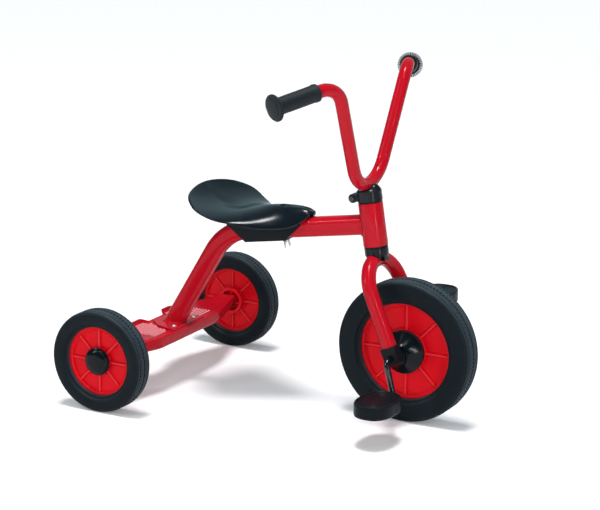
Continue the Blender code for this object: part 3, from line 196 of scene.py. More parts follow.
# Pedals, rings as (share of the outline, mm below the rim)
PEDAL_MIDDLE = (0.08, 1.6)
PEDAL_RIDGES = (0.26, 0.46, 0.66)
PEDAL_RIDGE = ((0, 1.6), (0.02, 1), (0.07, 1), (0.09, 1.6))  # shares from its start
PEDAL_RIM = ((0.84, 1.6), (0.87, 0.3), (0.89, 0), (0.94, 0), (0.975, 0.7), (0.995, 2.2),
             (1, 4), (1, 8))
PEDAL_POWER = 0.8  # below 1, the oval is squarer
PEDAL_STEPS = 120

# Main tube and welds
TUBE_HEIGHT = 32.5 * MM
TUBE_WIDTH = 28 * MM
TUBE_CORNER = 11 * MM
TUBE_CORNER_STEPS = 8
TUBE_SLOPE = radians(59)
TUBE_BEND = 95 * MM
TUBE_FOOT_AHEAD = 6.6 * MM
TUBE_IN_HEAD = 0.6  # where the tube ends inside the head tube, as a share of its radius
WELD_RADIUS = 1.9 * MM
WELD_RIPPLE = 0.05
WELD_RIPPLE_TURN = 1.3
WELD_FLATNESS = 0.8
WELD_SIDES = 10
WELD_RUN = 1.2 * MM
WELD_OUTSET = 0.6 * MM  # middle of the head's bead, from the main tube
WELD_PROUD = 0.4 * MM  # and from the head tube

# Step
STEP_TOP = 97 * MM
STEP_SHEET = 2 * MM
STEP_FRONT = 40 * MM
STEP_REAR = 40 * MM
STEP_NOTCH_REAR = 30 * MM
STEP_NOTCH_HALF = 22 * MM
STEP_FLANGE = 18 * MM
STEP_END_LIFT = 4 * MM  # how far the flange's lower edge rises at the ends
STEP_LIP = 7 * MM
STEP_LIP_MIDDLE = 2 * MM
STEP_LIP_END_DROP = 1.2 * MM
STEP_EAR_START = 36 * MM
STEP_EAR_END = 54 * MM
STEP_FLAT = 92 * MM
STEP_EASE = 0.25  # share of a soft curve in the way the ends narrow
STEP_END_HALF = 13 * MM
STEP_EDGE = 3.5 * MM
STEP_EDGE_STEPS = 4
STEP_END = -RIGHT_WHEEL.y - REAR_WIDTH / 2
STEP_ROWS = 60
STEP_BEAD_HEIGHT = 0.9 * MM
STEP_BEAD = ((8.6, 0), (9.6, 0.8), (10.8, 1), (12, 0.8), (13, 0))  # mm from the front, share of height
STUD_PITCH = 6.2 * MM
STUD_FRONT = 23 * MM
STUD_REAR_MARGIN = 7 * MM
STUD_PAD_MARGIN = 4 * MM
STUD_NOTCH = 24 * MM  # no studs further back than this between the ears
STUD_OUTLINE = ((0.7, 0.95), (1.3, 0.75), (1.7, 0.2), (1.8, -0.1))  # mm
STUD_SIDES = 10
PAD_THICKNESS = 2.4 * MM
PAD_CORNERS = ((-26 * MM, 16 * MM), (-4 * MM, 37 * MM), (35.5 * MM, 50 * MM))

# Saddle, along and square to the top tube from its corner
SEAT_BACK = 29.4 * MM
SEAT_BOTTOM = 4 * MM
SEAT_LENGTH = 203.4 * MM
SEAT_HALF_WIDTH = 92 * MM
SEAT_RISE = 80.3 * MM
SEAT_REAR = (0, 0, 1)  # shares of length, half width and rise
SEAT_RIM = [(0.043, 0.674, 0.888), (0.164, 1, 0.649), (0.302, 0.935, 0.385),
            (0.43, 0.772, 0.212), (0.615, 0.598, 0.061), (0.81, 0.348, 0),
            (0.92, 0.223, 0.093), (0.977, 0.114, 0.202)]
SEAT_NOSE = (1, 0, 0.243)
SEAT_SPINE = [(0.06, 0, 0.736), (0.162, 0, 0.537), (0.295, 0, 0.438),
              (0.444, 0, 0.433), (0.615, 0, 0.446), (0.869, 0, 0.372)]
SEAT_THICKNESS = 4 * MM
SEAT_EDGE = 1.6 * MM
SEAT_POWER = 2.8  # how late the dish rises towards its edge
SEAT_SKIRT_POWER = 2.3  # how squarely the nose turns down to its edge
SEAT_SKIRT_SHARE = 0.65
SEAT_SKIRT_DROP = 20 * MM  # the skirt is full where the rim is this far below the spine
SEAT_ROWS = 100
SEAT_COLUMNS = 34
RECESS_PLACE = 121.3 * MM  # round recess in the nose, ahead of the corner
RECESS_RADIUS = 11.5 * MM
RECESS_DEPTH = 2.4 * MM
RECESS_CHAMFER = 1.2 * MM
RECESS_CLEAR = 12 * MM  # top of the cutter, above the saddle
RECESS_SIDES = 48

# Colours and surfaces
RED_PAINT = (0.42, 0.004, 0.013)
RED_PLASTIC = (0.62, 0.002, 0.009)
# pale pink of the studs: partly worn paint, partly painted highlight for the glints on them
STUD_WEAR_AND_HIGHLIGHT = (0.80, 0.36, 0.40)
BLACK = (0.002, 0.004, 0.006)
RUBBER = (0.004, 0.008, 0.011)
# paler blue-grey on the tyres' tread: painted sheen that stands in for the tread's highlights
TREAD_SHEEN = (0.03, 0.044, 0.055)
ZINC = (0.62, 0.63, 0.65)
# cool pale grey for faces that look up: partly a dusty film, partly painted sheen
DUST_AND_SHEEN = (0.24, 0.31, 0.35)
SPECULAR = "Specular IOR Level"
NOISE_SPAN = (0.3, 0.7)  # between which the noise's values mostly lie
DRIFT_SCALE = 9.0
SMEAR_SCALE = 55.0
TREAD_SHEEN_FACING = (0.15, 0.6)  # share of the axle's direction in a face's normal, over which the painted tread sheen fades
DUST_AND_SHEEN_FACING = (0.2, 1.0)  # share of the upward direction in a face's normal, over which the dusty film and painted sheen fade in
EDGE_POINTINESS = (0.52, 0.60)
RIDGE_HIGHLIGHT_SHARE = 0.3
RIDGE_HIGHLIGHT_HEIGHT = (6.1 * MM, 0.6 * MM)  # tops of the rims' ribs, painted paler as highlight, and the reach about them

# Camera, light and floor
CAMERA_PLACE = Vector((1618.08, -2902.85, 1118.4)) * MM
CAMERA_YAW = radians(118.98)
CAMERA_PITCH = radians(-14.70)
CAMERA_ROLL = radians(0.41)
CAMERA_REACH = 100
LENS = 125.37
SENSOR = 36
KEY_DIRECTION = Vector((0, 4, -61))
KEY_POWER = 2.55
KEY_ANGLE = radians(16)
LIGHT_AIM = (0, 0, 0.25)
FILL_COLOUR = (0.93, 0.98, 1.0)
SKY_TINT = (0.60, 0.90, 1.0)
SKY_SPAN = (0.2, 0.8)  # the sky brightens between these shares of +Y
SKY_STRENGTH = (0.08, 0.55)
WHITE = (1.0, 1.0, 1.0)
FLOOR_HALF = 30.0
FLOOR_COLOUR = (0.88, 0.86, 0.87)
GLOW_COLOUR = (1.0, 0.97, 0.98)
GLOW_STRENGTH = 0.14


def place(origin, up, forward=AXIS_FORWARD):
    """Matrix of a local frame: Z along up, X near forward."""
    z = up.normalized()
    y = z.cross(forward).normalized()
    x = y.cross(z)
    matrix = Matrix.Identity(4)
    for column, axis in enumerate((x, y, z, origin)):
        for row in range(3):
            matrix[row][column] = axis[row]
    return matrix


STEER = place(HEAD_FOOT, AXIS_UP)
AXLE_LOCAL = STEER.inverted() @ FRONT_AXLE
FORK_REACH = (AXLE_LOCAL.x + FORK_CROWN_BACK, -AXLE_LOCAL.z - FORK_CROWN_DROP)
FORK_LEAN = atan2(*FORK_REACH)


def show(name, data):
    """New object of the scene with the given data."""
    obj = bpy.data.objects.new(name, data)
    bpy.context.scene.collection.objects.link(obj)
    return obj


def mesh_of(name, build):
    """Mesh that build fills as a bmesh, with its faces turned outward."""
    shape = bmesh.new()
    build(shape)
    bmesh.ops.recalc_face_normals(shape, faces=shape.faces)
    mesh = bpy.data.meshes.new(name)
    shape.to_mesh(mesh)
    shape.free()
    return mesh


def piece(name, body, material, build, matrix, replaces=None, crease=40):
    """A mesh piece: build fills a bmesh in the local frame given by the matrix."""
    mesh = mesh_of(name, build)
    mesh.shade_smooth()
    mesh.set_sharp_from_angle(angle=radians(crease))
    mesh.materials.append(material)
    obj = show(name, mesh)
    obj.matrix_world = matrix
    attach(obj, body)
    if replaces:
        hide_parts(replaces)
    return obj


def dressed(node, body, material, build, matrix, crease=40):
    """A piece that replaces a CAD node and is named after it."""
    return piece(node + "_visual", body, material, build, matrix, node, crease)


def skin(shape, rows, closed_rows=True, closed_ends=False):
    """Join rows of points by faces; rows can close on themselves and on each other."""
    made = [[shape.verts.new(p) for p in row] for row in rows]
    pairs = list(zip(made, made[1:]))
    if closed_ends:
        pairs.append((made[-1], made[0]))
    for row, following in pairs:
        count = len(row) if closed_rows else len(row) - 1
        for k in range(count):
            n = (k + 1) % len(row)
            shape.faces.new((row[k], row[n], following[n], following[k]))
    return made


def cap(shape, row):
    """Close a ring of vertices with a fan."""
    middle = shape.verts.new(sum((v.co for v in row), Vector()) / len(row))
    for k, vertex in enumerate(row):
        shape.faces.new((vertex, row[(k + 1) % len(row)], middle))


def circle(radius, steps):
    angles = [2 * pi * k / steps for k in range(steps)]
    return [(radius * cos(a), radius * sin(a)) for a in angles]


def polar(radius, angle, height):
    return Vector((radius * cos(angle), radius * sin(angle), height))


def ring_points(radius, height, steps):
    return [polar(radius, 2 * pi * k / steps, height) for k in range(steps)]


def lathe(shape, profile, steps=TURNED_SIDES, closed=False):
    """Turn (radius, height) points about Z; an open profile is capped at both ends."""
    made = skin(shape, [ring_points(*point, steps) for point in profile], closed_ends=closed)
    if not closed:
        cap(shape, made[0])
        cap(shape, made[-1])


def rounded_path(points, radii, step_angle):
    """Join points by straight runs, with an arc of the given radius at each inner point."""
    path = [points[0]]
    for before, corner, after, radius in zip(points, points[1:], points[2:], radii):
        incoming = (before - corner).normalized()
        outgoing = (after - corner).normalized()
        opening = incoming.angle(outgoing)
        if opening > NEARLY_STRAIGHT:
            path.append(corner)
            continue
        half = opening / 2
        reach = radius / tan(half)
        middle = corner + (incoming + outgoing).normalized() * radius / sin(half)
        start = corner + incoming * reach - middle
        turn = pi - 2 * half
        spin = start.cross(corner + outgoing * reach - middle).normalized()
        steps = max(2, round(turn / step_angle))
        for k in range(steps + 1):
            path.append(middle + Matrix.Rotation(turn * k / steps, 3, spin) @ start)
    path.append(points[-1])
    return path


def soft_profile(corners):
    """Soften the corners of an open profile of (radius, height) points."""
    flat = [Vector((r, z, 0)) for r, z in corners]
    radii = []
    for before, corner, after in zip(flat, flat[1:], flat[2:]):
        half = (before - corner).angle(after - corner) / 2
        room = min((before - corner).length, (after - corner).length) * SOFT_SHARE
        radii.append(max(1e-6, min(SOFT_EDGE, room * tan(half))))
    path = rounded_path(flat, radii, pi / 2 / CORNER_STEPS)
    return [(max(0.0, p.x), p.y) for p in path]


def subdivide(path):
    """Add points so that no run is longer than LONGEST_RUN."""
    result = [path[0]]
    for start, end in zip(path, path[1:]):
        count = max(1, ceil((end - start).length / LONGEST_RUN))
        result += [start.lerp(end, k / count) for k in range(1, count + 1)]
    return result


def sweep(shape, path, section, across=None):
    """Carry a section along an open path; a fixed across direction keeps it level."""
    rows = []
    normal = across
    last = len(path) - 1
    for k, point in enumerate(path):
        tangent = (path[min(k + 1, last)] - path[max(k - 1, 0)]).normalized()
        if normal is None:
            normal = tangent.orthogonal()
        sideways = (normal - tangent * normal.dot(tangent)).normalized()
        upward = tangent.cross(sideways)
        rows.append([point + sideways * a + upward * b for a, b in section])
        if across is None:
            normal = sideways
    return skin(shape, rows)


def smooth_through(points, count, square=False):
    """Points at even steps on a Catmull-Rom curve; square ends cross the plane y = 0 at 90 degrees."""
    if square:
        flip = Vector((1, -1, 1))
        ends = [points[1] * flip] + list(points) + [points[-2] * flip]
    else:
        ends = [points[0] * 2 - points[1]] + list(points) + [points[-1] * 2 - points[-2]]
    result = []
    for k in range(count):
        at = k * (len(points) - 1) / (count - 1)
        span = min(int(at), len(points) - 2)
        t = at - span
        a, b, c, d = ends[span:span + 4]
        result.append(0.5 * ((2 * b) + (c - a) * t + (2 * a - 5 * b + 4 * c - d) * t * t
                             + (3 * b - a - 3 * c + d) * t ** 3))
    return result


def rise(value, start, end):
    """Smooth step from 0 at start to 1 at end."""
    t = min(1.0, max(0.0, (value - start) / (end - start)))
    return t * t * (3 - 2 * t)


# Materials


def set_inputs(tree, node, values):
    """Give inputs a number, a colour or the output of another node."""
    for key, value in values.items():
        if isinstance(value, bpy.types.NodeSocket):
            tree.links.new(value, node.inputs[key])
        elif isinstance(value, tuple):
            node.inputs[key].default_value = (*value, 1)
        else:
            node.inputs[key].default_value = value


def add_node(tree, kind, inputs=(), **settings):
    """New node; its inputs are given by name or number."""
    node = tree.nodes.new("ShaderNode" + kind)
    for name, value in settings.items():
        setattr(node, name, value)
    set_inputs(tree, node, dict(inputs))
    return node


def noise_of(tree, coordinates, scale, detail):
    values = {"Vector": coordinates, "Scale": scale, "Detail": detail}
    return add_node(tree, "TexNoise", values).outputs["Fac"]


def ramp_of(tree, factor, low, high, first, second):
    """Map a factor between two places onto two colours."""
    node = add_node(tree, "ValToRGB", {"Fac": factor})
    for element, position, colour in zip(node.color_ramp.elements, (low, high), (first, second)):
        element.position = position
        element.color = (*colour, 1)
    return node.outputs["Color"]


def range_of(tree, factor, low, high, first, second):
    values = {"Value": factor, "From Min": low, "From Max": high, "To Min": first,
              "To Max": second}
    return add_node(tree, "MapRange", values).outputs["Result"]


def axis_of(tree, vector, axis):
    """One component of a vector."""
    return add_node(tree, "SeparateXYZ", {"Vector": vector}).outputs[axis]


def maths_of(tree, operation, *values):
    """Result of an operation on numbers and outputs of other nodes."""
    return add_node(tree, "Math", enumerate(values), operation=operation).outputs["Value"]


def mixed(tree, factor, first, second):
    values = {"Factor": factor, 6: first, 7: second}
    return add_node(tree, "Mix", values, data_type="RGBA").outputs[2]


def shaded(colour, gain, lift=0.0):
    return tuple(min(1.0, c * gain + lift) for c in colour)


def with_tread_sheen(tree, base, tread):
    """Painted sheen: a paler colour on the faces that do not look along the local Z axis."""
    normal = add_node(tree, "TexCoord").outputs["Normal"]
    across = maths_of(tree, "ABSOLUTE", axis_of(tree, normal, "Z"))
    return mixed(tree, range_of(tree, across, *TREAD_SHEEN_FACING, 1.0, 0.0), base, tread)


def with_ridge_highlight(tree, base, where, colour, ridge_highlight):
    """Painted highlight: a paler colour about a local height, given as that height and the reach about
    it.
    """
    near = maths_of(tree, "COMPARE", axis_of(tree, where, "Z"), *ridge_highlight)
    share = range_of(tree, near, 0.0, 1.0, 0.0, RIDGE_HIGHLIGHT_SHARE)
    return mixed(tree, share, base, shaded(colour, 1.1, 0.09))


def with_wear_and_edge_highlight(tree, base, colour, wear_and_highlight):
    """A paler colour on edges that stand out: partly worn edges, partly painted highlight."""
    edge = add_node(tree, "NewGeometry").outputs["Pointiness"]
    share = range_of(tree, edge, *EDGE_POINTINESS, 0.0, wear_and_highlight)
    return mixed(tree, share, base, shaded(colour, 1.5, 0.03))


def with_dust_and_sheen(tree, base, smear, dust_and_sheen):
    """Uneven dusty patches on the faces that look up, with a cool tint that is partly painted sheen.
    """
    normal = add_node(tree, "NewGeometry").outputs["Normal"]
    upper = range_of(tree, axis_of(tree, normal, "Z"), *DUST_AND_SHEEN_FACING, 0.0, dust_and_sheen)
    return mixed(tree, maths_of(tree, "MULTIPLY", upper, smear), base, DUST_AND_SHEEN)


def finish_material(name, colour, rough, grain, depth, drift, fixed, dust_and_sheen=None, tread=None,
                    wear_and_highlight=0.3, ridge_highlight=None):
    """A surface with colour drift, paler edges that are partly worn and partly painted highlight,
    roughness drift and fine relief.

    grain is the relief's scale and depth its height, drift how far the colour varies, fixed
    the values that are the same all over, tread the paler colour painted round a tyre's edge as
    sheen, ridge the local height of ridges painted paler as highlight and the reach about it.
    """
    material = bpy.data.materials.new(name)
    material.use_nodes = True
    tree = material.node_tree
    where = add_node(tree, "TexCoord").outputs["Object"]
    broad = noise_of(tree, where, DRIFT_SCALE, 2.0)
    fine = noise_of(tree, where, grain, 4.0)
    smear = noise_of(tree, where, SMEAR_SCALE, 5.0)
    base = ramp_of(tree, broad, *NOISE_SPAN, shaded(colour, 1 - drift), shaded(colour, 1 + drift))
    # painted sheen round a tyre's tread
    if tread:
        base = with_tread_sheen(tree, base, tread)
    # painted highlight on the rims' ribs
    if ridge_highlight:
        base = with_ridge_highlight(tree, base, where, colour, ridge_highlight)
    # paler edges: partly worn, partly painted highlight
    base = with_wear_and_edge_highlight(tree, base, colour, wear_and_highlight)
    # dusty patches with a cool tint that is partly painted sheen
    if dust_and_sheen:
        base = with_dust_and_sheen(tree, base, smear, dust_and_sheen)
    relief = add_node(tree, "Bump", {"Height": fine, "Strength": 1.0, "Distance": depth})
    set_inputs(tree, tree.nodes["Principled BSDF"], {
        "Base Color": base, "Roughness": range_of(tree, smear, *NOISE_SPAN, *rough),
        "Normal": relief.outputs["Normal"], **fixed})
    return material


RED_GLOSS = finish_material(
    "red_powder_coat", RED_PAINT, (0.22, 0.27), 700.0, 0.006 * MM, 0.04,
    {"Coat Weight": 0.2, "Coat Roughness": 0.03, SPECULAR: 0.05}, wear_and_highlight=0.06)
# the studs' pale pink is partly worn paint, partly painted highlight
STUD_WEAR_AND_HIGHLIGHT_FINISH = finish_material(
    "red_studs_worn_and_highlit", STUD_WEAR_AND_HIGHLIGHT, (0.3, 0.42), 700.0, 0.02 * MM, 0.12,
    {SPECULAR: 0.5})
# the rims' rib tops are painted paler as highlight
RED_SATIN = finish_material(
    "red_moulded_plastic", RED_PLASTIC, (0.3, 0.4), 900.0, 0.04 * MM, 0.05,
    {SPECULAR: 0.1}, ridge_highlight=RIDGE_HIGHLIGHT_HEIGHT)
BLACK_GLOSS = finish_material(
    "black_gloss_plastic", BLACK, (0.13, 0.19), 700.0, 0.02 * MM, 0.12,
    {SPECULAR: 0.16}, dust_and_sheen=0.015)
BLACK_SEAT = finish_material(
    "black_saddle_plastic", shaded(BLACK, 1.4), (0.15, 0.2), 900.0, 0.03 * MM, 0.12,
    {SPECULAR: 0.24}, dust_and_sheen=0.03)
BLACK_SATIN = finish_material(
    "black_grained_plastic", shaded(BLACK, 1.2), (0.34, 0.46), 1300.0, 0.08 * MM, 0.15,
    {SPECULAR: 0.1}, dust_and_sheen=0.02)
BLACK_RUBBER = finish_material(
    "black_grip_rubber", RUBBER, (0.48, 0.6), 1500.0, 0.1 * MM, 0.12,
    {SPECULAR: 0.25}, dust_and_sheen=0.05)
# the tread's paler colour is painted sheen
TYRE_RUBBER = finish_material(
    "tyre_rubber", RUBBER, (0.44, 0.58), 1100.0, 0.1 * MM, 0.18,
    {SPECULAR: 0.1}, dust_and_sheen=0.12, tread=TREAD_SHEEN)
BLACK_STEEL = finish_material(
    "black_enamelled_steel", BLACK, (0.14, 0.24), 600.0, 0.04 * MM, 0.1,
    {"Coat Weight": 0.3, "Coat Roughness": 0.05})
ZINC_PLATE = finish_material(
    "zinc_plated_steel", ZINC, (0.24, 0.38), 800.0, 0.03 * MM, 0.08, {"Metallic": 1.0})


# Tubes


def tube_piece(node, body, material, path, radius, matrix):
    """A round tube along a path, closed at both ends."""
    def build(shape):
        made = sweep(shape, subdivide(path), circle(radius, TUBE_SIDES))
        cap(shape, made[0])
        cap(shape, made[-1])

    dressed(node, body, material, build, matrix)


def tube_section(grow=0.0):
    """Rounded rectangle of the main tube as (across, along the height) pairs."""
    a = TUBE_WIDTH / 2 - TUBE_CORNER
    b = TUBE_HEIGHT / 2 - TUBE_CORNER
    points = []
    for sign_a, sign_b, start in ((1, 1, 0), (-1, 1, 90), (-1, -1, 180), (1, -1, 270)):
        for k in range(TUBE_CORNER_STEPS + 1):
            angle = radians(start + 90 * k / TUBE_CORNER_STEPS)
            points.append((sign_a * a + (TUBE_CORNER + grow) * cos(angle),
                           sign_b * b + (TUBE_CORNER + grow) * sin(angle)))
    return points


def tube_corner():
    """Where the line of the top run meets the line of the sloped run."""
    joint = HEAD_FOOT + AXIS_UP * TUBE_JOINT
    foot = Vector((REAR_X + TUBE_FOOT_AHEAD, 0, STEP_TOP))
    slope = Vector((cos(TUBE_SLOPE), 0, sin(TUBE_SLOPE)))
    apart = joint - foot
    turned = slope.x * AXIS_FORWARD.z - slope.z * AXIS_FORWARD.x
    back = (slope.x * apart.z - slope.z * apart.x) / turned
    return joint, joint - AXIS_FORWARD * back, foot, slope


def main_tube():
    """Bent tube from the foot pad to the head tube, with a weld bead at each end."""
    joint, corner, foot, slope = tube_corner()
    start = foot + slope * (PAD_THICKNESS + GAP) / slope.z
    end = joint - AXIS_FORWARD * (HEAD_RADIUS * TUBE_IN_HEAD)
    path = subdivide(rounded_path([start, corner, end], [TUBE_BEND], MAIN_BEND_STEP))
    section = tube_section()

    def build(shape):
        made = sweep(shape, path, section, SIDE)
        level = STEP_TOP + PAD_THICKNESS + 2 * GAP
        for vertex in made[0]:
            vertex.co += slope * (level - vertex.co.z) / slope.z
        cap(shape, made[0])
        cap(shape, made[-1])

    tube = dressed("main_tube", "frame", RED_GLOSS, build, WORLD)
    foot_ring = [vertex.co.copy() for vertex in tube.data.vertices[:len(section)]]
    weld_bead("foot_weld", foot_ring, UP)
    around = []
    for a, b in tube_section(WELD_OUTSET):
        back = sqrt((HEAD_RADIUS + WELD_PROUD) ** 2 - a * a)
        around.append(joint - AXIS_FORWARD * back - SIDE * a + AXIS_UP * b)
    weld_bead("head_weld", around, -AXIS_FORWARD)


def weld_bead(name, path, outward):
    """Smoothed weld seam that follows a closed line."""
    middle = sum(path, Vector()) / len(path)
    loop = []
    for start, end in zip(path, path[1:] + path[:1]):
        steps = max(1, round((end - start).length / WELD_RUN))
        loop += [start.lerp(end, k / steps) for k in range(steps)]

    def build(shape):
        rows = []
        for k, point in enumerate(loop):
            away = point - middle
            away = (away - outward * away.dot(outward)).normalized()
            size = WELD_RADIUS * (1 + WELD_RIPPLE * sin(k * WELD_RIPPLE_TURN))
            rows.append([point + away * a + outward * b * WELD_FLATNESS
                         for a, b in circle(size, WELD_SIDES)])
        skin(shape, rows, closed_ends=True)

    piece(name, "frame", RED_GLOSS, build, WORLD, crease=60)


def fork_point(y, height):
    """Point of the fork's plane, at a height above the axle along the legs."""
    return Vector((AXLE_LOCAL.x - height * sin(FORK_LEAN), y,
                   AXLE_LOCAL.z + height * cos(FORK_LEAN)))


def fork():
    crown = hypot(*FORK_REACH)
    corners = [fork_point(-FORK_HALF, FORK_LEG_END), fork_point(-FORK_HALF, crown),
               fork_point(FORK_HALF, crown), fork_point(FORK_HALF, FORK_LEG_END)]
    path = rounded_path(corners, [FORK_ARCH, FORK_ARCH], BEND_STEP)
    tube_piece("fork", "steering", RED_GLOSS, path, FORK_TUBE, STEER)


def bar_point(y, height):
    """Point of the handlebar's plane, at a height above the bottom bend."""
    return Vector((-BAR_BACK + height * sin(BAR_TILT), y,
                   HEAD_LENGTH + BAR_RISE + height * cos(BAR_TILT)))


def grip_direction(sign):
    flat = cos(GRIP_DROOP)
    return Vector((-sin(GRIP_SWEEP) * flat, sign * cos(GRIP_SWEEP) * flat,
                   -sin(GRIP_DROOP)))


def bar_root():
    """Height at which the lines of both legs meet."""
    return BAR_BOTTOM_BEND * (1 - 1 / sin(BAR_LEG))


def bar_corner(sign):
    return bar_point(sign * (BAR_CORNER_UP - bar_root()) * tan(BAR_LEG), BAR_CORNER_UP)


def handlebar():
    ends = [bar_corner(sign) + grip_direction(sign) * (GRIP_START + BAR_IN_GRIP)
            for sign in (-1, 1)]
    corners = [ends[0], bar_corner(-1), bar_point(0, bar_root()), bar_corner(1), ends[1]]
    radii = [BAR_CORNER_BEND, BAR_BOTTOM_BEND, BAR_CORNER_BEND]
    path = rounded_path(corners, radii, BEND_STEP)
    tube_piece("handlebar", "steering", RED_GLOSS, path, BAR_TUBE, STEER)


def head_tube():
    bore = HEAD_RADIUS - HEAD_WALL
    profile = soft_profile([(bore, HEAD_LENGTH), (HEAD_RADIUS, HEAD_LENGTH), (HEAD_RADIUS, 0),
                            (bore, 0)])
    profile.append((bore - HEAD_BORE_STEP, 0))
    dressed("head_tube", "frame", RED_GLOSS, lambda shape: lathe(shape, profile, closed=True),
            STEER, crease=35)


# Wheels


def wheel_matrix(centre, outward):
    return place(centre, SIDE * outward, FORWARD)


def tyre(node, body, centre, radius, width, bead):
    """Moulded tyre: bead ridge, plain side wall, ribbed tread with a middle groove."""
    half = width / 2
    edge = half - TREAD_INSET
    side = [(bead + GAP, BEAD_HALF)]
    side += [(bead + out * MM, half - inward * MM) for out, inward in BEAD_OUTLINE]
    side += [(radius - below * MM, half - inward * MM) for below, inward in SHOULDER_OUTLINE]
    tread = [(radius, TREAD_MIDDLE + (edge - TREAD_MIDDLE) * (1 - k / TREAD_ROWS))
             for k in range(TREAD_ROWS + 1)]
    front = side + tread + [(radius - GROOVE_DEPTH, TREAD_MIDDLE - GROOVE_SLOPE)]
    profile = front + [(r, -z) for r, z in reversed(front)]
    count = round(2 * pi * radius / PATTERN_PITCH)
    steps = count * PATTERN_STEPS

    def depth(r, z, angle):
        """How far a cross groove sinks the surface."""
        if r <= radius - PATTERN_FLOOR or abs(z) >= half - PATTERN_INSET:
            return 0.0
        phase = count * angle + abs(z) * 2 * pi / PATTERN_SLANT
        return PATTERN_DEPTH * rise(cos(phase), *PATTERN_EDGES)

    def build(shape):
        rows = []
        for k in range(steps):
            angle = 2 * pi * k / steps
            rows.append([polar(r - depth(r, z, angle), angle, z) for r, z in profile])
        skin(shape, rows, closed_ends=True)

    dressed(node, body, TYRE_RUBBER, build, wheel_matrix(centre, 1), crease=50)


def rim_height(r, angle, radius, boss, face):
    """Height of the moulded disc at a radius and angle: lip, dish, ribs and panels."""
    lip = radius - RIM_LIP
    sector = 2 * pi / RIB_COUNT
    from_rib = abs((angle + sector / 2) % sector - sector / 2) * r
    rib = 1 - rise(from_rib, *RIB_FLANK)
    panel = rise(from_rib, *PANEL_EDGE) * rise(r - boss, *PANEL_EDGE)
    panel *= rise(lip - r, *PANEL_LIP_EDGE)
    height = RIM_WEB + RIB_HEIGHT * rib * rise(lip - r, *RIB_END) + PANEL_RISE * panel
    return height + (face - height) * rise(r - lip, *LIP_SLOPE)


def sector_angle(k):
    """Angle of a rim's point; the points crowd near each rib."""
    t = (k % SECTOR_STEPS) / SECTOR_STEPS * 2 - 1
    bent = copysign(abs(t) ** RIB_CROWDING, t) * 0.5
    return (k // SECTOR_STEPS + 0.5 + bent) * 2 * pi / RIB_COUNT


RIM_ANGLES = [sector_angle(k) for k in range(RIB_COUNT * SECTOR_STEPS)]


def ring_row(r, z, pocket=0.0):
    """A ring of points; a pocket goes down between its webs."""
    quarter = 2 * pi / POCKET_COUNT
    row = []
    for a in RIM_ANGLES:
        from_web = abs((a - POCKET_TURN + quarter / 2) % quarter - quarter / 2) * r
        row.append(polar(r, a, z - pocket * rise(from_web, *POCKET_WEB)))
    return row


def rim(node, body, centre, outward, sizes, pockets=False):
    """Half rim as a fine polar grid, with a turned boss that can have pockets in its face."""
    radius, face, boss, boss_face, bore = sizes

    def build(shape):
        rows = [ring_row(bore, GAP / 2), ring_row(bore, boss_face - RIM_CHAMFER),
                ring_row(bore + RIM_CHAMFER, boss_face)]
        if pockets:
            rows += [ring_row(bore + POCKET_INNER[0], boss_face),
                     ring_row(bore + POCKET_INNER[1], boss_face, POCKET_DEPTH),
                     ring_row(boss - POCKET_OUTER[1], boss_face, POCKET_DEPTH),
                     ring_row(boss - POCKET_OUTER[0], boss_face)]
        rows += [ring_row(boss - RIM_CHAMFER, boss_face), ring_row(boss, boss_face - RIM_CHAMFER)]
        for ring in range(1, RIM_RINGS + 1):
            r = boss + (radius - boss) * ring / RIM_RINGS
            rows.append([polar(r, a, rim_height(r, a, radius, boss, face)) for a in RIM_ANGLES])
        rows += [ring_row(radius, face - RIM_CHAMFER), ring_row(radius, GAP / 2)]
        skin(shape, rows, closed_ends=True)

    dressed(node, body, RED_SATIN, build, wheel_matrix(centre, outward))


def hub_cap(node, body, centre, outward):
    """Domed cap with a step to its skirt, hollow inside."""
    low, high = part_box(node)
    base = abs((low.y if outward > 0 else high.y) - centre.y)
    radius = (high.x - low.x) / 2
    height = high.y - low.y
    profile = [(r * MM, height - below * MM) for r, below in CAP_DOME]
    profile += [(radius - CAP_STEP[0], height - CAP_STEP[1]), (radius, height - CAP_SKIRT),
                (radius, 0), (radius - CAP_FOOT, 0),
                (radius - CAP_SHOULDER[0], height - CAP_SHOULDER[1]),
                (CAP_INNER, height - CAP_WALL)]
    dressed(node, body, BLACK_GLOSS, lambda shape: lathe(shape, profile),
            wheel_matrix(centre + SIDE * outward * base, outward))


def rear_wheel(side, sign, centre):
    body = side + "_rear_wheel"
    tyre(side + "_tyre", body, centre, REAR_RADIUS, REAR_WIDTH, REAR_RIM)
    rim(side + "_rim_outer", body, centre, sign, OUTER_HALF)
    rim(side + "_rim_inner", body, centre, -sign, INNER_HALF, pockets=True)
    hub_cap(side + "_hub_cap", body, centre, sign)


def front_hub(side, sign):
    """Black flange that swells into a dome, with a boss and a neck up to the fork's block."""
    base = FRONT_BOSS_FACE + GAP
    edge = base + HUB_FLANGE
    end = FORK_HALF - BLOCK_WIDTH / 2 - GAP
    profile = soft_profile([(FRONT_BORE, end), (HUB_NECK, end)]
                           + [(r * MM, HUB_FACE + above * MM) for r, above in HUB_EDGE])
    for k in range(HUB_STEPS + 1):
        angle = pi / 2 * k / HUB_STEPS
        out = sin(angle) ** HUB_POWER
        up = max(0.0, cos(angle)) ** HUB_POWER
        profile.append((HUB_BOSS + (HUB_FLANGE_RADIUS - HUB_BOSS) * out,
                        edge + (HUB_FACE - edge) * up))
    profile += [(HUB_FLANGE_RADIUS, base), (FRONT_BORE, base)]
    dressed(side + "_front_hub", "front_wheel", BLACK_GLOSS,
            lambda shape: lathe(shape, profile, closed=True), wheel_matrix(FRONT_AXLE, sign))


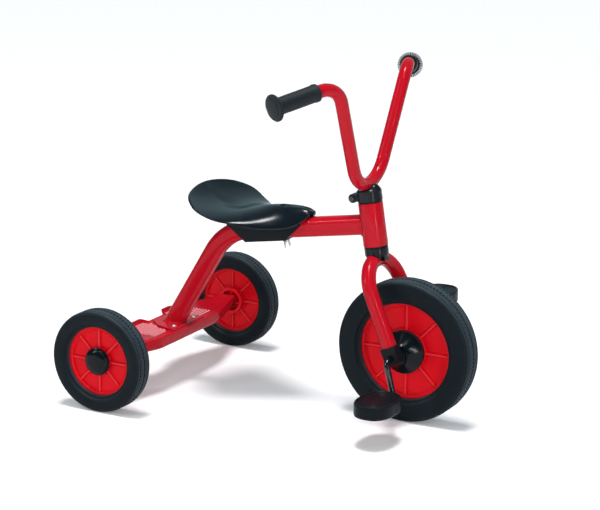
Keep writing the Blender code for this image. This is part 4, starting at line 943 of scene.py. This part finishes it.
def front_wheel():
    tyre("front_tyre", "front_wheel", FRONT_AXLE, FRONT_RADIUS, FRONT_WIDTH, FRONT_RIM)
    for side, sign in (("right", -1), ("left", 1)):
        rim(side + "_front_rim", "front_wheel", FRONT_AXLE, sign, FRONT_HALF)
        front_hub(side, sign)
    crankshaft()


def crankshaft():
    """Black rod bent into axle, arms and spindles."""
    down = RIGHT_SPINDLE - FRONT_AXLE
    down.y = 0
    corners = [FRONT_AXLE - SIDE * CRANK_END + down, FRONT_AXLE - SIDE * CRANK_Y + down,
               FRONT_AXLE - SIDE * CRANK_Y, FRONT_AXLE + SIDE * CRANK_Y,
               FRONT_AXLE + SIDE * CRANK_Y - down, FRONT_AXLE + SIDE * CRANK_END - down]
    path = rounded_path(corners, [CRANK_BEND] * 4, CRANK_BEND_STEP)
    tube_piece("crankshaft", "front_wheel", BLACK_STEEL, path, CRANK_ROD, WORLD)


# Grips, pedals, saddle, step


def grip(side, sign):
    """Rubber grip with fine flutes, a collar, an end disc and a ring of open teeth."""
    direction = grip_direction(sign)
    matrix = STEER @ place(bar_corner(sign) + direction * GRIP_START, direction, UP)
    corners = [(GRIP_BORE, GRIP_BORE_DEPTH), (GRIP_BORE, 0)]
    corners += [(r * MM, ahead * MM) for r, ahead in COLLAR_OUTLINE]
    corners += [(r * MM, GRIP_LENGTH - back * MM) for r, back in GUARD_OUTLINE]
    profile = soft_profile(corners)
    steps = FLUTE_COUNT * FLUTE_STEPS

    def sleeve(shape):
        rows = []
        for radius, height in profile:
            depth = FLUTE_DEPTH if FLUTE_START < height < GRIP_LENGTH - FLUTE_END else 0.0
            row = []
            for k in range(steps):
                angle = 2 * pi * k / steps
                dip = depth * (1 - cos(FLUTE_COUNT * angle)) / 2
                row.append(polar(radius - dip, angle, height))
            rows.append(row)
        cap(shape, skin(shape, rows)[-1])

    def teeth(shape):
        outline = [(r * MM, GRIP_LENGTH - back * MM) for r, back in TOOTH_OUTLINE]
        for k in range(GUARD_TEETH):
            turn = Matrix.Rotation(2 * pi * k / GUARD_TEETH, 4, "Z")
            rows = [[turn @ Vector((r, y, z)) for r, z in outline]
                    for y in (TOOTH_HALF, -TOOTH_HALF)]
            for row in skin(shape, rows):
                shape.faces.new(row)

    dressed("grip_" + side, "steering", BLACK_RUBBER, sleeve, matrix, crease=50)
    piece("grip_%s_teeth" % side, "steering", BLACK_RUBBER, teeth, matrix,
          crease=30)


def pedal(side, spindle):
    """Moulded oval pedal with concentric ridges on both treads."""
    low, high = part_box(side + "_pedal")
    depth, length, half = (high - low) / 2
    rings = [PEDAL_MIDDLE]
    rings += [(start + out, below) for start in PEDAL_RIDGES for out, below in PEDAL_RIDGE]
    rings += PEDAL_RIM
    upper = [(scale, half - below * MM) for scale, below in rings]
    levels = upper + [(scale, -z) for scale, z in reversed(upper)]

    def outline(scale, k):
        angle = 2 * pi * k / PEDAL_STEPS
        c, s = cos(angle), sin(angle)
        inset = (1 - scale) * depth
        x = (depth - inset) * copysign(abs(c) ** PEDAL_POWER, c)
        y = (length - inset) * copysign(abs(s) ** PEDAL_POWER, s)
        return x, y

    def build(shape):
        rows = [[Vector((*outline(scale, k), height)) for k in range(PEDAL_STEPS)]
                for scale, height in levels]
        made = skin(shape, rows)
        for row in (made[0], made[-1]):
            shape.faces.new(row)

    dressed(side + "_pedal", side + "_pedal_body", BLACK_SATIN, build,
            place(spindle, UP, FORWARD), crease=35)


def seat_point(shares):
    """Place given by its shares of the saddle's length, half width and rise."""
    length, width, height = shares
    return Vector((length * SEAT_LENGTH - SEAT_BACK, width * SEAT_HALF_WIDTH,
                   SEAT_BOTTOM + height * SEAT_RISE))


def seat_grid():
    """Saddle's upper surface as rows of points from rim to rim."""
    rear = seat_point(SEAT_REAR)
    nose = seat_point(SEAT_NOSE)
    rim_line = smooth_through([rear] + [seat_point(p) for p in SEAT_RIM] + [nose], SEAT_ROWS, True)
    spine = smooth_through([rear] + [seat_point(p) for p in SEAT_SPINE] + [nose], SEAT_ROWS)
    grid = []
    for inner, outer in zip(spine, rim_line):
        left = []
        skirt = SEAT_SKIRT_SHARE * rise(inner.z - outer.z, 0.0, SEAT_SKIRT_DROP)
        for k in range(SEAT_COLUMNS):
            t = sin(pi / 2 * k / (SEAT_COLUMNS - 1))
            point = inner.lerp(outer, t)
            point.y = max(0.0, outer.y * t)
            turned = 1 - max(0.0, 1 - t ** SEAT_SKIRT_POWER) ** (1 / SEAT_SKIRT_POWER)
            share = (1 - skirt) * t ** SEAT_POWER + skirt * turned
            point.z = inner.z + (outer.z - inner.z) * share
            left.append(point)
        right = [Vector((p.x, -p.y, p.z)) for p in reversed(left[1:])]
        grid.append(right + left)
    return grid


def saddle():
    """Smooth saddle shell with a rounded edge and a round recess in its nose."""
    matrix = place(tube_corner()[1], AXIS_UP)
    grid = seat_grid()

    def build(shape):
        skin(shape, grid, closed_rows=False)
        bmesh.ops.remove_doubles(shape, verts=shape.verts, dist=0.02 * MM)

    shell = piece("saddle_visual", "saddle", BLACK_SEAT, build, matrix,
                  "seat_shell", crease=70)
    thicken(shell, SEAT_THICKNESS)
    round_edge = shell.modifiers.new("Edge", "BEVEL")
    round_edge.width = SEAT_EDGE
    round_edge.segments = 3
    round_edge.angle_limit = radians(50)
    cut_recess(shell, matrix, grid)


def cut_recess(shell, matrix, grid):
    """Sink a round recess into the saddle's nose and keep the cut mesh."""
    spine = [row[len(row) // 2] for row in grid]
    near = min(range(1, len(spine) - 1), key=lambda k: abs(spine[k].x - RECESS_PLACE))
    along = (spine[near + 1] - spine[near - 1]).normalized()
    profile = [(RECESS_RADIUS, RECESS_CLEAR), (RECESS_RADIUS, RECESS_CHAMFER - RECESS_DEPTH),
               (RECESS_RADIUS - RECESS_CHAMFER, -RECESS_DEPTH)]
    mesh = mesh_of("recess_cutter", lambda shape: lathe(shape, profile, RECESS_SIDES))
    cutter = show("recess_cutter", mesh)
    cutter.matrix_world = matrix @ place(spine[near], along.cross(SIDE), along)
    cut = shell.modifiers.new("Recess", "BOOLEAN")
    cut.object = cutter
    cut.operation = "DIFFERENCE"
    bpy.context.view_layer.update()
    graph = bpy.context.evaluated_depsgraph_get()
    shell.data = bpy.data.meshes.new_from_object(shell.evaluated_get(graph))
    shell.modifiers.clear()
    shell.data.set_sharp_from_angle(angle=radians(50))
    bpy.data.objects.remove(cutter, do_unlink=True)


def step_section(y):
    """Outer surface of the step at a distance y from the middle, front to rear."""
    taper = max(0.0, (y - STEP_FLAT) / (STEP_END - STEP_FLAT))
    ease = rise(y, STEP_FLAT, STEP_END)
    narrowing = STEP_EASE * ease + (1 - STEP_EASE) * taper
    front = STEP_FRONT + (STEP_END_HALF - STEP_FRONT) * narrowing
    ear = rise(y, STEP_NOTCH_HALF, STEP_EAR_START)
    rear = -STEP_NOTCH_REAR - (STEP_REAR - STEP_NOTCH_REAR) * ear
    rear += (STEP_REAR - STEP_END_HALF) * narrowing
    bottom = STEP_TOP - STEP_FLANGE + STEP_END_LIFT * ease
    lip = STEP_LIP_MIDDLE + (STEP_LIP - STEP_LIP_MIDDLE) * ear
    lip *= 1 - rise(y, STEP_EAR_END, STEP_FLAT)
    r = STEP_EDGE * (1 - 0.4 * taper)
    points = [(front, bottom), (front + 0.5 * MM, bottom + 0.3 * STEP_FLANGE),
              (front + 0.3 * MM, STEP_TOP - 2 * r), (front, STEP_TOP - r)]
    for k in range(1, STEP_EDGE_STEPS + 1):
        angle = pi / 2 * k / STEP_EDGE_STEPS
        points.append((front - r + r * cos(angle), STEP_TOP - r + r * sin(angle)))
    for back, height in STEP_BEAD:
        points.append((front - back * MM * (1 - 0.5 * taper),
                       STEP_TOP + height * STEP_BEAD_HEIGHT * (1 - ease)))
    points += [(front / 2, STEP_TOP), (0, STEP_TOP), (rear / 2, STEP_TOP)]
    points += [(rear + r, STEP_TOP), (rear + 0.5 * r, STEP_TOP + 0.15 * lip),
               (rear + 0.2 * r, STEP_TOP + 0.55 * lip - 0.2 * MM),
               (rear, STEP_TOP + lip - STEP_LIP_END_DROP * ease)]
    return [Vector((REAR_X + x, y, z)) for x, z in points]


def rear_step():
    """Pressed step of one sheet, with rows of studs."""
    def build(shape):
        rows = []
        for k in range(-STEP_ROWS, STEP_ROWS + 1):
            y = STEP_END * k / STEP_ROWS
            rows.append([Vector((p.x, y, p.z)) for p in step_section(abs(y))])
        skin(shape, rows, closed_rows=False)

    step = dressed("rear_step", "frame", RED_GLOSS, build, WORLD, crease=60)
    thicken(step, STEP_SHEET)
    step_studs()


def thicken(obj, thickness):
    """Turn an open sheet so that its faces look up, and give it a thickness downwards."""
    shape = bmesh.new()
    shape.from_mesh(obj.data)
    for face in shape.faces:
        face.normal_update()
    if sum(face.normal.z * face.calc_area() for face in shape.faces) < 0:
        bmesh.ops.reverse_faces(shape, faces=shape.faces)
    shape.to_mesh(obj.data)
    shape.free()
    solid = obj.modifiers.new("Thickness", "SOLIDIFY")
    solid.thickness = thickness
    solid.offset = -1


def pad_half(x):
    """Half width of the foot pad at a distance ahead of the rear axle."""
    for (x0, y0), (x1, y1) in zip(PAD_CORNERS, PAD_CORNERS[1:]):
        if x0 <= x <= x1:
            return y0 + (y1 - y0) * (x - x0) / (x1 - x0)
    return 0.0


def step_studs():
    """Rows of low round studs on both sides of the foot pad."""
    profile = [(r * MM, z * MM) for r, z in STUD_OUTLINE]
    rows = int(STEP_FLAT / STUD_PITCH)
    columns = int((STUD_FRONT + STEP_REAR - STUD_REAR_MARGIN) / STUD_PITCH)

    def bare(x, y):
        between_ears = abs(y) < STEP_EAR_START and x < -STUD_NOTCH
        return abs(y) < pad_half(x) + STUD_PAD_MARGIN or between_ears

    def build(shape):
        for i in range(columns + 1):
            for j in range(-rows, rows + 1):
                x = STUD_FRONT - i * STUD_PITCH
                y = j * STUD_PITCH
                if bare(x, y):
                    continue
                centre = Vector((REAR_X + x, y, STEP_TOP))
                made = skin(shape, [[centre + p for p in ring_points(r, z, STUD_SIDES)]
                                    for r, z in profile])
                cap(shape, made[0])

    piece("step_studs", "frame", STUD_WEAR_AND_HIGHLIGHT_FINISH, build, WORLD, crease=60)


# Refined copies of small nodes: nodes, body, material, width of the softened edge in mm, slot
SMALL_PARTS = (
    (("upper_clamp", "lower_collar"), "steering", BLACK_GLOSS, 0.8, "black_gloss_plastic"),
    (("right_fork_block", "left_fork_block"), "steering", BLACK_SATIN, 1.0, "black_plastic"),
    (("pinch_bolt", "pinch_nut"), "steering", BLACK_STEEL, 0.3, "black_steel"),
    (("upper_bush", "lower_bush"), "frame", BLACK_SATIN, 0.3, "black_plastic"),
    (("foot_pad",), "frame", RED_GLOSS, 0.8, "red_sheet"),
    (("axle_tube",), "frame", RED_GLOSS, 0.4, "red_tube"),
    (("rear_axle", "right_axle_nut", "left_axle_nut", "right_foot_bolt", "left_foot_bolt"),
     "frame", ZINC_PLATE, 0.3, "zinc"),
    (("right_axle_washer", "left_axle_washer"), "frame", BLACK_STEEL, 0.2, "black_steel"),
    (("seat_clamp",), "saddle", BLACK_SATIN, 1.2, "black_plastic"),
    (("seat_jaw",), "saddle", BLACK_SATIN, 0.5, "black_plastic"),
    (("wing_bolt",), "wing_bolt_body", ZINC_PLATE, 0.4, "zinc"),
    (("right_wheel_bush",), "right_rear_wheel", BLACK_SATIN, 0.3, "black_plastic"),
    (("left_wheel_bush",), "left_rear_wheel", BLACK_SATIN, 0.3, "black_plastic"))


def refined(node, body, material, bevel, crease=40):
    """Copy of a CAD node with softened edges and a finish of its own."""
    mesh = frame["nodes"][node].data.copy()
    shape = bmesh.new()
    shape.from_mesh(mesh)
    bmesh.ops.remove_doubles(shape, verts=shape.verts, dist=0.005 * MM)
    bmesh.ops.dissolve_limit(shape, angle_limit=radians(1), verts=shape.verts,
                             edges=shape.edges)
    shape.to_mesh(mesh)
    shape.free()
    mesh.materials.clear()
    mesh.materials.append(material)
    mesh.shade_smooth()
    mesh.set_sharp_from_angle(angle=radians(crease))
    obj = show(node + "_visual", mesh)
    soften = obj.modifiers.new("Soften", "BEVEL")
    soften.width = bevel
    soften.segments = 2
    soften.angle_limit = radians(crease)
    soften.harden_normals = True
    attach(obj, body)
    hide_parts(node)


def small_parts():
    for nodes, body, material, bevel, slot in SMALL_PARTS:
        for node in nodes:
            refined(node, body, material, bevel * MM)


# Stage


def floor():
    """Pale floor that keeps the shadows and reads white to the camera."""
    mesh = bpy.data.meshes.new("floor")
    corners = [(x * FLOOR_HALF, y * FLOOR_HALF, 0) for x, y in ((-1, -1), (1, -1), (1, 1), (-1, 1))]
    mesh.from_pydata(corners, [], [(0, 1, 2, 3)])
    material = bpy.data.materials.new("floor")
    material.use_nodes = True
    tree = material.node_tree
    tree.nodes.clear()
    seen = add_node(tree, "LightPath").outputs["Is Camera Ray"]
    strength = maths_of(tree, "MULTIPLY", seen, GLOW_STRENGTH)
    lit = add_node(tree, "BsdfDiffuse", {"Color": FLOOR_COLOUR})
    glow = add_node(tree, "Emission", {"Color": GLOW_COLOUR, "Strength": strength})
    both = add_node(tree, "AddShader", {0: lit.outputs["BSDF"], 1: glow.outputs["Emission"]})
    add_node(tree, "OutputMaterial", {"Surface": both.outputs["Shader"]})
    mesh.materials.append(material)
    show("floor", mesh)


def area_light(name, spot, size, power, aim=LIGHT_AIM):
    light = bpy.data.lights.new(name, "AREA")
    light.shape = "RECTANGLE"
    light.size, light.size_y = size
    light.energy = power
    lamp = show(name, light)
    lamp.location = spot
    lamp.rotation_mode = "QUATERNION"
    lamp.rotation_quaternion = (Vector(aim) - Vector(spot)).to_track_quat("-Z", "Y")
    return lamp


def surroundings():
    """World that is white to the camera and lights the object from behind with a cool tint."""
    world = bpy.data.worlds.new("studio")
    bpy.context.scene.world = world
    world.use_nodes = True
    tree = world.node_tree
    direction = add_node(tree, "TexCoord").outputs["Generated"]
    behind = range_of(tree, axis_of(tree, direction, "Y"), *SKY_SPAN, *SKY_STRENGTH)
    seen = add_node(tree, "LightPath").outputs["Is Camera Ray"]
    set_inputs(tree, tree.nodes["Background"], {
        "Strength": maths_of(tree, "MAXIMUM", behind, seen),
        "Color": mixed(tree, seen, SKY_TINT, WHITE)})


def lights():
    """A soft key from above, a broad fill by the camera and three strips."""
    key = bpy.data.lights.new("key", "SUN")
    key.energy = KEY_POWER
    key.angle = KEY_ANGLE
    lamp = show("key", key)
    lamp.rotation_mode = "QUATERNION"
    lamp.rotation_quaternion = KEY_DIRECTION.to_track_quat("-Z", "Y")
    fill = area_light("fill", (1.0, -2.4, 1.2), (2.6, 1.6), 32)
    fill.visible_glossy = False
    fill.data.color = FILL_COLOUR
    area_light("strip_left", (-1.6, -1.8, 1.5), (0.1, 1.8), 18)
    area_light("strip_right", (2.38, -1.42, 0.85), (0.06, 1.6), 16, aim=(0.2, 0, 0.85))
    area_light("strip_top", (0.4, -0.5, 2.2), (0.35, 1.4), 9)


def camera():
    data = bpy.data.cameras.new("camera")
    data.lens = LENS
    data.sensor_width = SENSOR
    data.clip_end = CAMERA_REACH
    ahead = Vector((cos(CAMERA_YAW) * cos(CAMERA_PITCH),
                    sin(CAMERA_YAW) * cos(CAMERA_PITCH), sin(CAMERA_PITCH)))
    level = Vector((sin(CAMERA_YAW), -cos(CAMERA_YAW), 0))
    right = level * cos(CAMERA_ROLL) + level.cross(ahead) * sin(CAMERA_ROLL)
    view = show("camera", data)
    view.matrix_world = place(CAMERA_PLACE, -ahead, right)
    bpy.context.scene.camera = view


camera()
main_tube()
head_tube()
fork()
handlebar()
front_wheel()
for side, sign, wheel, spindle in (("right", -1, RIGHT_WHEEL, RIGHT_SPINDLE),
                                   ("left", 1, LEFT_WHEEL, LEFT_SPINDLE)):
    rear_wheel(side, sign, wheel)
    grip(side, sign)
    pedal(side, spindle)
saddle()
rear_step()
small_parts()
floor()
surroundings()
lights()

scene = bpy.context.scene
scene.view_settings.view_transform = "Standard"
